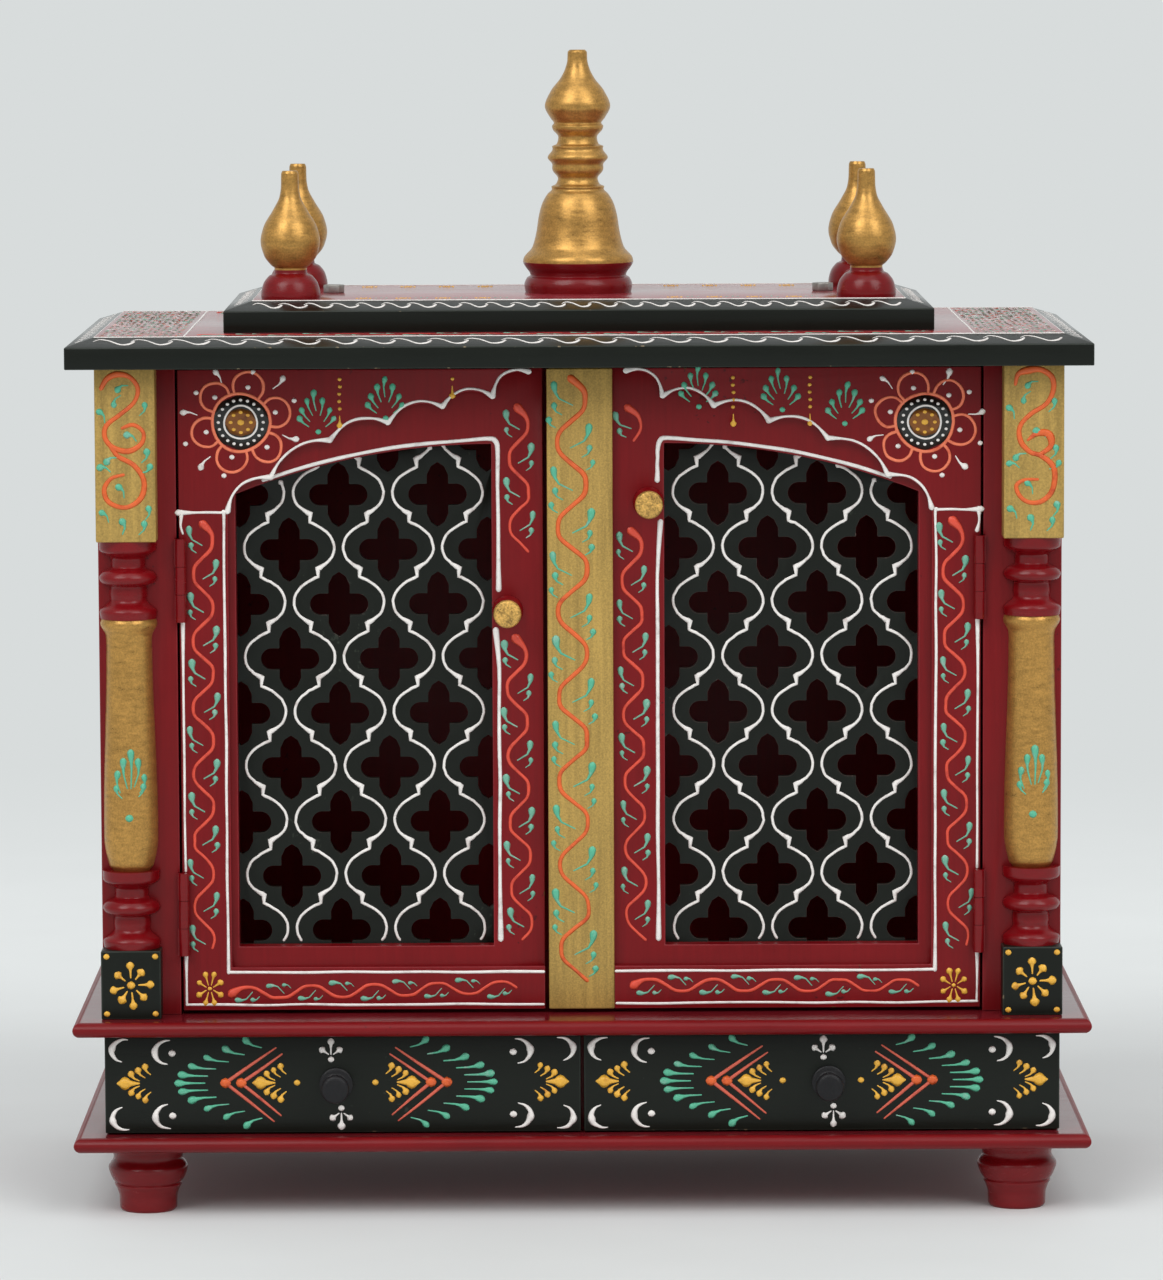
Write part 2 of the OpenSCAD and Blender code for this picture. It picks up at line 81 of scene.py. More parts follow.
def dress(piece, *finishes):
    piece.data.materials.clear()
    for finish in finishes:
        piece.data.materials.append(finish)


def stand(name, data):
    """Sets a new object with this data in the scene."""
    piece = bpy.data.objects.new(name, data)
    bpy.context.scene.collection.objects.link(piece)
    return piece


def join(name, pieces):
    pick(*pieces)
    if len(pieces) > 1:
        bpy.ops.object.join()
    whole = bpy.context.active_object
    whole.name = name
    whole.data.name = name
    return whole


# ---------------------------------------------------------------- finishes

def tint(red, green, blue):
    """A paint colour as it looks, 0 to 255, made linear."""
    shares = [value / 255 for value in (red, green, blue)]
    return [s / 12.92 if s <= 0.04045 else ((s + 0.055) / 1.055) ** 2.4 for s in shares]


def shade(colour, factor):
    return [min(1.0, value * factor) for value in colour] + [1.0]


def node(tree, kind, inputs=None, **settings):
    made = tree.nodes.new(kind)
    for name, value in settings.items():
        setattr(made, name, value)
    for name, value in (inputs or {}).items():
        if isinstance(value, bpy.types.NodeSocket):
            tree.links.new(value, made.inputs[name])
        else:
            made.inputs[name].default_value = value
    return made


def ramp(tree, source, stops):
    made = node(tree, "ShaderNodeValToRGB", {"Fac": source})
    points = made.color_ramp.elements
    while len(points) < len(stops):
        points.new(0.5)
    for point, (place, colour) in zip(points, stops):
        point.position = place
        point.color = colour
    return made.outputs["Color"]


def noise(tree, place, scale, detail=4.0, rough=0.6):
    inputs = {"Vector": place, "Scale": scale, "Detail": detail, "Roughness": rough}
    return node(tree, "ShaderNodeTexNoise", inputs).outputs["Fac"]


def blend_values(tree, first, second, share):
    inputs = {0: share, 2: first, 3: second}
    return node(tree, "ShaderNodeMix", inputs, data_type="FLOAT").outputs[0]


def over(tree, mask, below, above):
    """Lays one colour over another where the mask is 1."""
    made = node(tree, "ShaderNodeMix", data_type="RGBA")
    tree.links.new(mask, made.inputs[0])
    for socket, value in ((made.inputs[6], below), (made.inputs[7], above)):
        if isinstance(value, bpy.types.NodeSocket):
            tree.links.new(value, socket)
        else:
            socket.default_value = value
    return made.outputs[2]


UPRIGHT = (1, 1, 0.05)
ACROSS = (0.05, 1, 1)
FRONT_TO_BACK = (1, 0.05, 1)
ALL_WAYS = (1, 1, 1)

# How fine each unevenness is, as the scale of its noise
PATCHES = 11.0
BRUSH_LINES = 420.0
CHIP_SPECKS = 260.0
DUST = 900.0
GILT_STROKES = 260.0
POOLS = 160.0
CRINKLES = 520.0
WOOD_RINGS = 60.0
WOOD_PORES = 700.0


def blank_finish(name):
    """A new finish: itself, its node tree, its shader and the place on the piece."""
    finish = bpy.data.materials.new(name)
    finish.use_nodes = True
    tree = finish.node_tree
    place = node(tree, "ShaderNodeTexCoord").outputs["Object"]
    return finish, tree, tree.nodes["Principled BSDF"], place


def lay_on(tree, shader, paint, rough, height, relief, depth):
    """Links colour, roughness and relief; rough is a source, its range and the roughness at each end."""
    source, low, high, least, most = rough
    tree.links.new(paint, shader.inputs["Base Color"])
    sheen = node(tree, "ShaderNodeMapRange", {
        "Value": source, "From Min": low, "From Max": high, "To Min": least, "To Max": most})
    tree.links.new(sheen.outputs[0], shader.inputs["Roughness"])
    bump = node(tree, "ShaderNodeBump", {"Height": height, "Strength": relief, "Distance": depth})
    tree.links.new(bump.outputs[0], shader.inputs["Normal"])


def brushed(name, colour, grain, contrast=0.16, gloss=0.34, relief=0.10, metal=0.0, chips=None,
            chips_from=0.4092, shine=0.25):
    """Brushed enamel: light and dark patches, brush lines along the grain, and chips."""
    finish, tree, shader, place = blank_finish(name)
    along = node(tree, "ShaderNodeMapping", {"Vector": place, "Scale": grain}).outputs[0]
    patches = noise(tree, place, PATCHES, 5.0)
    strokes = noise(tree, along, BRUSH_LINES, 6.0, 0.68)
    tone = blend_values(tree, patches, strokes, 0.45)
    paint = ramp(tree, tone, [
        (0.28, shade(colour, 1 - 1.5 * contrast)),
        (0.50, shade(colour, 1.0)),
        (0.74, shade(colour, 1 + 1.5 * contrast))])
    if chips:
        specks = noise(tree, place, CHIP_SPECKS, 3.0, 0.55)
        worn = node(tree, "ShaderNodeMath", {0: specks, 1: patches}, operation="MULTIPLY").outputs[0]
        edge = node(tree, "ShaderNodeMapRange", {
            "Value": worn, "From Min": chips_from, "From Max": chips_from + 0.02})
        paint = over(tree, edge.outputs[0], paint, shade(chips, 1.0))
    height = blend_values(tree, strokes, noise(tree, place, DUST, 2.0), 0.3)
    lay_on(tree, shader, paint, (tone, 0.3, 0.7, gloss - 0.06, gloss + 0.10), height, relief, 0.0012)
    shader.inputs["Metallic"].default_value = metal
    shader.inputs["Specular IOR Level"].default_value = shine
    return finish


def gilt(name, colour, grain, flake=900.0, relief=0.16, metal=0.55, gloss=0.36, contrast=0.26):
    """Gold paint: a shimmer of fine flakes in brushed strokes."""
    finish, tree, shader, place = blank_finish(name)
    along = node(tree, "ShaderNodeMapping", {"Vector": place, "Scale": grain}).outputs[0]
    flakes = noise(tree, place, flake, 2.0, 0.7)
    strokes = noise(tree, along, GILT_STROKES, 5.0, 0.6)
    tone = blend_values(tree, flakes, strokes, 0.5)
    paint = ramp(tree, tone, [
        (0.38, shade(colour, 1 - contrast)),
        (0.50, shade(colour, 1.0)),
        (0.62, shade(colour, 1 + contrast))])
    lay_on(tree, shader, paint, (strokes, 0.3, 0.7, gloss - 0.05, gloss + 0.12), tone, relief, 0.0010)
    shader.inputs["Metallic"].default_value = metal
    return finish


def relief_paint(name, colour, deep):
    """Thick paint squeezed on in lines: thin places let some of the darker ground through."""
    finish, tree, shader, place = blank_finish(name)
    pooled = noise(tree, place, POOLS, 3.0)
    paint = ramp(tree, pooled, [
        (0.26, shade(deep, 1.0)), (0.44, shade(colour, 0.94)), (0.70, shade(colour, 1.05))])
    crinkled = noise(tree, place, CRINKLES, 2.0)
    lay_on(tree, shader, paint, (pooled, 0.0, 1.0, 0.30, 0.48), crinkled, 0.12, 0.0008)
    return finish


def raw_wood(name, light, dark, grain):
    """Bare softwood: rings drawn out along the grain, with pores."""
    finish, tree, shader, place = blank_finish(name)
    along = node(tree, "ShaderNodeMapping", {"Vector": place, "Scale": grain}).outputs[0]
    rings = node(tree, "ShaderNodeTexNoise", {
        "Vector": along, "Scale": WOOD_RINGS, "Detail": 6.0, "Roughness": 0.6, "Distortion": 0.6})
    pores = noise(tree, along, WOOD_PORES, 3.0, 0.7)
    tone = blend_values(tree, rings.outputs["Fac"], pores, 0.3)
    wood = ramp(tree, tone, [
        (0.30, shade(dark, 1.0)), (0.52, shade(light, 0.9)), (0.70, shade(light, 1.1))])
    lay_on(tree, shader, wood, (tone, 0.0, 1.0, 0.5, 0.75), tone, 0.2, 0.0008)
    return finish


MAROON = tint(116, 8, 15)
MAROON_DEEP = tint(84, 8, 14)
GREEN_BLACK = tint(14, 19, 13)
GOLD = tint(180, 148, 78)
WOOD_LIGHT = tint(176, 134, 88)
WOOD_DARK = tint(118, 82, 50)

maroon_upright = brushed("maroon_upright", MAROON, UPRIGHT, chips=MAROON_DEEP)
maroon_across = brushed("maroon_across", MAROON, ACROSS, chips=MAROON_DEEP, chips_from=0.4464)
maroon_turned = brushed("maroon_turned", MAROON, (0.3, 0.3, 1), gloss=0.22, shine=0.34)
maroon_edge = brushed(
    "maroon_edge", tint(126, 32, 38), ALL_WAYS, contrast=0.25, gloss=0.30, chips=WOOD_DARK)
maroon_top = brushed(
    "maroon_top", tint(108, 22, 30), ACROSS, contrast=0.22, gloss=0.17, relief=0.05, shine=1.0)
roof_deck = brushed(
    "roof_deck", tint(140, 50, 58), ACROSS, contrast=0.22, gloss=0.14, relief=0.04, shine=1.0)
green_side = brushed("green_side", GREEN_BLACK, FRONT_TO_BACK, gloss=0.20, relief=0.05, shine=1.0)
green_across = brushed(
    "green_across", GREEN_BLACK, ACROSS, gloss=0.30, chips=tint(40, 44, 38), chips_from=0.4464)
green_upright = brushed("green_upright", GREEN_BLACK, UPRIGHT, gloss=0.36, chips=tint(40, 46, 38))
green_edge = brushed(
    "green_edge", tint(36, 42, 36), ALL_WAYS, contrast=0.30, chips=tint(120, 108, 86), chips_from=0.3596)
lattice_edge = brushed(
    "lattice_edge", tint(54, 38, 34), ALL_WAYS, contrast=0.35, gloss=0.5, chips=tint(118, 92, 88),
    chips_from=0.372)
strip_gold = gilt("strip_gold", GOLD, UPRIGHT, relief=0.22, metal=0.35, gloss=0.42)
turned_gold = gilt("turned_gold", tint(186, 142, 74), (0.5, 0.5, 1.6), relief=0.14, metal=0.7, gloss=0.32)
grained_gold = gilt(
    "grained_gold", tint(200, 158, 84), ALL_WAYS, flake=800.0, relief=0.6, metal=0.5, contrast=0.55)
iron_black = brushed("iron_black", tint(24, 24, 26), ALL_WAYS, contrast=0.3, gloss=0.32, relief=0.3)
bolt_zinc = brushed(
    "bolt_zinc", tint(158, 156, 152), ALL_WAYS, contrast=0.4, gloss=0.38, relief=0.3, metal=0.8)
box_wood = raw_wood("box_wood", WOOD_LIGHT, WOOD_DARK, FRONT_TO_BACK)

# Each paint as it looks, and where it has pooled darker
PAINT_TINTS = {
    "white": ((240, 236, 232), (206, 196, 192)),
    "orange": ((226, 100, 42), (192, 72, 30)),
    "coral": ((220, 76, 54), (184, 52, 40)),
    "salmon": ((244, 128, 92), (214, 92, 62)),
    "salmon_dark": ((212, 96, 74), (176, 66, 50)),
    "teal": ((88, 182, 148), (132, 184, 164)),
    "sage": ((112, 176, 152), (164, 190, 176)),
    "yellow": ((234, 178, 62), (196, 130, 38)),
    "brown": ((134, 78, 20), (98, 50, 16)),
    "black": ((28, 30, 28), (18, 20, 18)),
    "olive": ((66, 66, 34), (44, 48, 30))}
PAINTS = {}
for paint, (colour, deep) in PAINT_TINTS.items():
    PAINTS[paint] = relief_paint(paint + "_paint", tint(*colour), tint(*deep))


# ---------------------------------------------------------------- boards

def finish_piece(piece, body, slot, *nodes):
    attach(piece, body)
    if nodes:
        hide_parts(*nodes)
    return piece


def ease_edges(piece, width, steps):
    """Rounds the sharp edges over; the new faces take the piece's second finish."""
    easing = piece.modifiers.new("easing", "BEVEL")
    easing.width = width * MM
    easing.segments = steps
    easing.limit_method = "ANGLE"
    easing.angle_limit = math.radians(40)
    easing.material = 1
    bpy.ops.object.modifier_apply(modifier="easing")
    bpy.ops.object.shade_smooth_by_angle(angle=math.radians(35))


def eased(name, body, slot, face, edge, width=0.8, steps=2):
    """A board of the frame with its sharp edges eased; the eased edges take their own worn finish."""
    piece = stand(name + "_eased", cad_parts[name].data.copy())
    pick(piece)
    edit_all()
    bpy.ops.mesh.remove_doubles(threshold=0.00001)
    bpy.ops.mesh.dissolve_limited(angle_limit=math.radians(0.5))
    edit_done()
    dress(piece, face, edge)
    ease_edges(piece, width, steps)
    return finish_piece(piece, body, slot, name)


def paint_node(name, finish):
    dress(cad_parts[name], finish)


SQUARE_ON = 0.99
LARGE = 0.002


def face_finish(board, finish, towards):
    """Gives every large face that looks this way another finish."""
    way = Vector(towards).normalized()
    board.data.materials.append(finish)
    for face in board.data.polygons:
        if face.normal.dot(way) > SQUARE_ON and face.area > LARGE:
            face.material_index = len(board.data.materials) - 1


for name in ("bottom_shelf", "middle_shelf"):
    shelf = eased(name, "root", "maroon_paint", maroon_across, maroon_edge, 0.5)
    face_finish(shelf, maroon_top, (0, 0, 1))
for name in ("stile_left", "stile_right", "side_panel_left", "side_panel_right", "back_panel",
             "drawer_case_left", "drawer_case_right"):
    eased(name, "root", "maroon_paint", maroon_upright, maroon_edge)
for name in ("drawer_case_back", "drawer_divider"):
    eased(name, "root", "maroon_paint", maroon_across, maroon_edge)
for side, word in SIDES.items():
    door = word + "_door"
    drawer = word + "_drawer"
    eased(f"door_{word}_board", door, "maroon_paint", maroon_upright, maroon_edge)
    eased(f"door_{word}_overlay", door, "maroon_paint", maroon_upright, maroon_edge, 1.2, 3)
    eased(f"door_{word}_lattice", door, "dark_green_paint", green_upright, lattice_edge, 0.5)
    eased(f"drawer_{word}_front", drawer, "dark_green_paint", green_across, green_edge, 0.7)
    eased(f"drawer_{word}_box", drawer, "bare_wood", box_wood, box_wood, 0.6)
    paint_node(f"door_{word}_hinges", maroon_turned)
    paint_node(f"stile_hinges_{word}", maroon_turned)
eased("door_right_strip", "right_door", "gold_paint", strip_gold, strip_gold, 0.9, 3)


ROOF_EDGE = 13.0
ROOF_BEVEL = 17.0
ROOF_RISE = 5.5


def paint_roof(name):
    """A bevelled roof board: black-green edge and bevel, polished at the sides, and a maroon top."""
    board = eased(name, "root", "dark_green_paint", green_across, green_edge, 0.6)
    face_finish(board, roof_deck, (0, 0, 1))
    for out in (LEFT, RIGHT):
        face_finish(board, green_side, (out * ROOF_RISE, 0, ROOF_BEVEL))


paint_roof("main_roof")
paint_roof("upper_roof")
eased("roof_bolts", "root", "bolt_metal", bolt_zinc, bolt_zinc, 0.5)


# ---------------------------------------------------------------- turned pieces

FOOT_LINE = [
    [0, 0.68], [0.04, 0.72], [0.2, 0.73], [0.32, 0.79], [0.395, 0.85], [0.41, 0.83], [0.43, 0.86],
    [0.5, 0.93], [0.64, 1], [0.79, 0.87], [0.81, 0.87], [0.93, 0.97], [1, 1]]
FINIAL_LINE = [
    [0, 0.98], [0.03, 1], [0.11, 0.93], [0.18, 0.72], [0.2, 0.56], [0.24, 0.54], [0.26, 0.64], [0.34, 0.89],
    [0.45, 1], [0.56, 0.9], [0.7, 0.56], [0.8, 0.35], [0.88, 0.3], [0.975, 0.29], [1, 0.25]]
CROWN_LINE = [
    [0, 0.96], [0.03, 0.98], [0.06, 0.93], [0.07, 0.87], [0.08, 0.88], [0.105, 0.96], [0.125, 1],
    [0.14, 0.99], [0.187, 0.83], [0.25, 0.755], [0.316, 0.71], [0.368, 0.645], [0.406, 0.55],
    [0.426, 0.47], [0.436, 0.48], [0.446, 0.4], [0.47, 0.36], [0.502, 0.455], [0.514, 0.465], [0.526, 0.46],
    [0.556, 0.547], [0.592, 0.455], [0.602, 0.465], [0.612, 0.38], [0.64, 0.35], [0.674, 0.455],
    [0.686, 0.465], [0.698, 0.43], [0.718, 0.49], [0.768, 0.593], [0.832, 0.48], [0.884, 0.305],
    [0.923, 0.22], [0.96, 0.18], [0.99, 0.175], [1, 0.14]]
RING_LINE = [
    [0, 0.94], [0.09, 0.97], [0.24, 0.62], [0.31, 0.64], [0.41, 0.62], [0.46, 0.9], [0.52, 0.97],
    [0.6, 0.86], [0.66, 0.58], [0.76, 0.58], [0.88, 0.96], [1, 0.97]]
SHAFT_LINE = [
    [0, 0.62], [0.02, 0.74], [0.13, 0.9], [0.2, 0.9], [0.9, 0.76], [0.93, 0.77], [0.98, 0.95], [1, 0.9]]
DOOR_KNOB_LINE = [
    [0, 1], [0.08, 0.97], [0.3, 0.56], [0.55, 0.62], [0.78, 0.86], [0.92, 0.88], [0.985, 0.8], [1, 0.7]]
DRAWER_KNOB_LINE = [
    [0, 1], [0.14, 1], [0.2, 0.62], [0.5, 0.55], [0.72, 0.8], [0.9, 0.85], [0.975, 0.74], [1, 0.6]]
SWELL_STEPS = 6


def leans(line):
    """How fast the outline widens at each station; where it turns back it stands upright, never past."""
    slopes = [(r1 - r0) / (z1 - z0) for (z0, r0), (z1, r1) in zip(line, line[1:])]
    inner = [2 * a * b / (a + b) if a * b > 0 else 0.0 for a, b in zip(slopes, slopes[1:])]
    return [slopes[0]] + inner + [slopes[-1]]


def radius_at(line, share):
    """Radius share of a turned outline at a share of its height."""
    lean = leans(line)
    for i, ((z0, r0), (z1, r1)) in enumerate(zip(line, line[1:])):
        if share <= z1:
            long = z1 - z0
            t = (share - z0) / long
            return ((2 * t ** 3 - 3 * t * t + 1) * r0 + (t ** 3 - 2 * t * t + t) * long * lean[i]
                    + (3 * t * t - 2 * t ** 3) * r1 + (t ** 3 - t * t) * long * lean[i + 1])
    return line[-1][1]


def stations(line, height, radius):
    """The outline from the axis at the bottom to the axis at the top."""
    points = [(0, 0)]
    for (z0, r0), (z1, r1) in zip(line, line[1:]):
        for step in range(SWELL_STEPS):
            share = z0 + (z1 - z0) * step / SWELL_STEPS
            points.append((radius * radius_at(line, share), height * share))
    points.append((radius * line[-1][1], height))
    points.append((0, height))
    return points


def wire(name, points):
    """An outline across and up, made a mesh."""
    curve = bpy.data.curves.new(name, "CURVE")
    curve.dimensions = "3D"
    spline = curve.splines.new("POLY")
    spline.points.add(len(points) - 1)
    for station, (across, up) in zip(spline.points, points):
        station.co = (across, 0, up, 1)
    pick(stand(name, curve))
    bpy.ops.object.convert(target="MESH")
    return bpy.context.active_object


def turned(name, line, height, radius, finish, tip_finish=None, tip_share=0.0, steps=64, half=False):
    """Spins an outline about Z; above tip_share it takes tip_finish. A half is sawn flat at the back."""
    piece = wire(name, stations(line, height, radius))
    edit_all()
    bpy.ops.mesh.spin(steps=steps, angle=2 * math.pi, center=(0, 0, 0), axis=(0, 0, 1))
    bpy.ops.mesh.select_all(action="SELECT")
    bpy.ops.mesh.remove_doubles(threshold=0.000005)
    bpy.ops.mesh.normals_make_consistent(inside=False)
    if half:
        bpy.ops.mesh.select_all(action="SELECT")
        bpy.ops.mesh.bisect(plane_co=(0, 0, 0), plane_no=(0, 1, 0), use_fill=True, clear_outer=True)
    edit_done()
    dress(piece, finish, tip_finish or finish)
    for face in piece.data.polygons:
        if face.center.z > tip_share * height and tip_finish:
            face.material_index = 1
    bpy.ops.object.shade_smooth_by_angle(angle=math.radians(50))
    return piece


def on_box(name):
    """Middle of a node's underside, its height and half its width."""
    low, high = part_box(name)
    middle = (low + high) / 2
    return Vector((middle.x, middle.y, low.z)), high.z - low.z, (high.x - low.x) / 2


def turned_set(names, line, slot, *finishes):
    """One turned piece, copied to the place of each of its nodes."""
    height, radius = on_box(names[0])[1:]
    first = turned(names[0] + "_turned", line, height, radius, *finishes)
    twins = [first] + [stand(name + "_turned", first.data.copy()) for name in names[1:]]
    for twin, name in zip(twins, names):
        put(twin, Matrix.Translation(on_box(name)[0]))
        finish_piece(twin, "root", slot, name)


CORNERS = ["front_left", "front_right", "back_left", "back_right"]
FINIAL_GOLD = 0.225
CROWN_GOLD = 0.125
KNOB_GOLD = 0.80
feet = ["foot_" + corner for corner in CORNERS]
finials = ["finial_" + corner for corner in CORNERS]
turned_set(feet, FOOT_LINE, "maroon_paint", maroon_turned)
turned_set(finials, FINIAL_LINE, "gold_paint", maroon_turned, turned_gold, FINIAL_GOLD)
turned_set(["crown_finial"], CROWN_LINE, "gold_paint", maroon_turned, turned_gold, CROWN_GOLD)


def knob(name, body, slot, line, *finishes):
    """A knob turned about the way it points, which is to the front."""
    low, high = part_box(name)
    middle = (low + high) / 2
    piece = turned(name + "_turned", line, high.y - low.y, (high.x - low.x) / 2, *finishes, steps=48)
    put(piece, Matrix.Translation((middle.x, high.y, middle.z)) @ Matrix.Rotation(math.pi / 2, 4, "X"))
    finish_piece(piece, body, slot, name)


for side, word in SIDES.items():
    knob(f"door_{word}_knob", word + "_door", "gold_paint", DOOR_KNOB_LINE, maroon_turned, grained_gold,
         KNOB_GOLD)
    knob(f"drawer_{word}_knob", word + "_drawer", "black_paint", DRAWER_KNOB_LINE, iron_black)

LOW_BLOCK = 41.5 * MM
RING_STACK = 47 * MM
TOP_BLOCK = 104 * MM


def square_block(name, low, high, finish, edge):
    """A block planed to size, with its edges eased."""
    middle = (low + high) / 2
    bpy.ops.object.select_all(action="DESELECT")
    bpy.ops.mesh.primitive_cube_add(size=1, location=middle, scale=high - low)
    piece = bpy.context.active_object
    piece.name = name
    bpy.ops.object.transform_apply(location=True, rotation=True, scale=True)
    dress(piece, finish, edge)
    ease_edges(piece, 0.9, 3)
    return piece


def pilaster(side):
    name = "pilaster_" + SIDES[side]
    low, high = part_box(name)
    radius = (high.x - low.x) / 2
    middle_x = (low.x + high.x) / 2
    shaft = high.z - low.z - LOW_BLOCK - TOP_BLOCK - 2 * RING_STACK
    low_block_top = Vector((high.x, high.y, low.z + LOW_BLOCK))
    top_block_foot = Vector((low.x, low.y, high.z - TOP_BLOCK))
    low_block = square_block("low_block", low, low_block_top, green_upright, green_edge)
    top_block = square_block("top_block", top_block_foot, high, strip_gold, strip_gold)
    low_rings = turned("low_rings", RING_LINE, RING_STACK, radius, maroon_turned, half=True)
    top_rings = stand("top_rings", low_rings.data.copy())
    column = turned("column", SHAFT_LINE, shaft, radius, turned_gold, half=True)
    level = low.z + LOW_BLOCK
    for piece, height in ((low_rings, RING_STACK), (column, shaft), (top_rings, RING_STACK)):
        put(piece, Matrix.Translation((middle_x, high.y, level)))
        level += height
    whole = join(name + "_turned", [low_block, low_rings, column, top_rings, top_block])
    finish_piece(whole, "root", "gold_paint", name)


pilaster(LEFT)
pilaster(RIGHT)


# ---------------------------------------------------------------- the painter's tools

class Sheet:
    """A flat place to paint on: its own right and up in millimetres, and the way it faces."""

    def __init__(self, body, origin, right=(1, 0, 0), up=(0, 0, 1), thick=0.42):
        self.body = body
        self.thick = thick
        right, up = Vector(right).normalized(), Vector(up).normalized()
        out = right.cross(up)
        turn = Matrix((right, up, out)).transposed().to_4x4()
        self.place = Matrix.Translation(Vector(origin)) @ turn @ Matrix.Scale(MM, 4)
        self.lines = {}

    def add(self, paint, points):
        """points are across, up and width, in millimetres."""
        self.lines.setdefault(paint, []).append(points)


sheets = []


def sheet(*args, **settings):
    made = Sheet(*args, **settings)
    sheets.append(made)
    return made


def smooth(points, steps=4):
    """More points on the even curve through these."""
    padded = [points[0]] + list(points) + [points[-1]]
    fine = []
    for a, b, c, d in zip(padded, padded[1:], padded[2:], padded[3:]):
        for step in range(steps):
            t = step / steps
            fine.append(tuple(
                0.5 * (2 * q + (r - p) * t + (2 * p - 5 * q + 4 * r - s) * t * t
                       + (3 * q - p - 3 * r + s) * t ** 3)
                for p, q, r, s in zip(a, b, c, d)))
    fine.append(tuple(points[-1]))
    return fine


def rounded(points):
    """Rounds both ends of a stroke."""
    def cap(end, inner):
        dx, dy = end[0] - inner[0], end[1] - inner[1]
        long = math.hypot(dx, dy) or 1.0
        reach = end[2] / 2
        return [
            (end[0] + dx / long * reach * s, end[1] + dy / long * reach * s, end[2] * w)
            for s, w in ((0.55, 0.80), (0.96, 0.25))]
    return cap(points[0], points[1])[::-1] + list(points) + cap(points[-1], points[-2])


def round_from(middle, angle, far):
    """The point at this angle and distance from the middle."""
    return (middle[0] + far * math.cos(angle), middle[1] + far * math.sin(angle))


def line(on, paint, points, steps=4, shake=0.12):
    """A drawn line through points of across, up and width."""
    shaken = [
        (u + hand.gauss(0, shake), v + hand.gauss(0, shake), w * hand.uniform(0.9, 1.1))
        for u, v, w in points]
    on.add(paint, rounded(smooth(shaken, steps)))


RING_PARTS = 16


def ring(on, paint, middle, radius, width):
    """A drawn ring, a little uneven."""
    wobble = hand.uniform(0, math.tau)
    points = []
    for i in range(RING_PARTS + 1):
        angle = math.tau * i / RING_PARTS
        far = radius * (1 + 0.025 * math.sin(3 * angle + wobble))
        points.append(round_from(middle, angle, far) + (width,))
    on.add(paint, smooth(points, 3))


def dot(on, paint, middle, size):
    half = size / 2
    on.add(paint, [
        (middle[0] + s * half, middle[1], w * size)
        for s, w in ((-1, 0.12), (-0.72, 0.69), (0, 1.0), (0.72, 0.69), (1, 0.12))])


def drop(on, paint, head, tail, size=3.4, bend=0.0):
    """A drop of paint pulled out from a round head to a fine tail; bend bows it to the left of its way."""
    dx, dy = tail[0] - head[0], tail[1] - head[1]
    bow = (-dy * bend, dx * bend)
    size *= hand.uniform(0.88, 1.12)
    points = []
    for t, w in ((0, 1.0), (0.12, 0.86), (0.26, 0.46), (0.5, 0.27), (1, 0.17)):
        lift = 4 * t * (1 - t)
        points.append((head[0] + dx * t + bow[0] * lift, head[1] + dy * t + bow[1] * lift, size * w))
    on.add(paint, rounded(points))


def fan(on, paint, root, reach, count, spread, size):
    """Drops over a root, heads upwards and outwards; the outer ones reach less far."""
    for i in range(count):
        share = 2 * i / (count - 1) - 1
        angle = math.radians(90 + share * spread + hand.uniform(-3, 3))
        far = reach * (1 - 0.42 * abs(share)) * hand.uniform(0.94, 1.06)
        head = round_from(root, angle, far)
        drop(on, paint, head, round_from(root, angle, far * 0.5), size, -0.12 * share)


# Drops in one hollow of a vine: head and tail, each out from the vine and along it, and how big
VINE_DROPS = (
    ((8.2, -7.2), (-0.2, 2.6), 1.0),
    ((7.8, 2.6), (4.4, 7.0), 0.82),
    ((9.4, 9.4), (6.6, 13.0), 0.82))
VINE_SWING = 6.9
VINE_PITCH = 40.0


def vine(on, start, end, swing, pitch, drops=2, width=2.3, head=5.6, leaf=4.2, paints=("coral", "sage")):
    """A wave from a round head, with drops in its hollows."""
    long = math.hypot(end[0] - start[0], end[1] - start[1])
    way = ((end[0] - start[0]) / long, (end[1] - start[1]) / long)
    side = (-way[1], way[0])

    def at(along, across):
        return (start[0] + way[0] * along + side[0] * across, start[1] + way[1] * along + side[1] * across)

    parts = int(long / (pitch / 8))
    points = []
    for i in range(parts + 1):
        turn = math.tau * i / 8
        across = swing * (math.sin(turn) + 0.07 * math.sin(3 * turn)) * hand.uniform(0.95, 1.05)
        taper = head if i == 0 else width * (1.3 if i == 1 else 1.0 - 0.25 * i / parts)
        points.append(at(i * pitch / 8, across) + (taper,))
    line(on, paints[0], points, 4, 0.12)
    outwards = swing / VINE_SWING
    onwards = pitch / VINE_PITCH
    for i in range(int((long + pitch * 0.1) / (pitch / 2))):
        middle = pitch * (0.25 + 0.5 * i)
        out = -1 if i % 2 == 0 else 1
        for (head_u, head_v), (tail_u, tail_v), big in VINE_DROPS[:drops]:
            nudge = hand.uniform(-0.8, 0.8)
            drop(on, paints[1],
                 at(middle + head_v * onwards, out * head_u * outwards + nudge),
                 at(middle + tail_v * onwards, out * tail_u * outwards + nudge),
                 leaf * big, bend=0.20 * out)


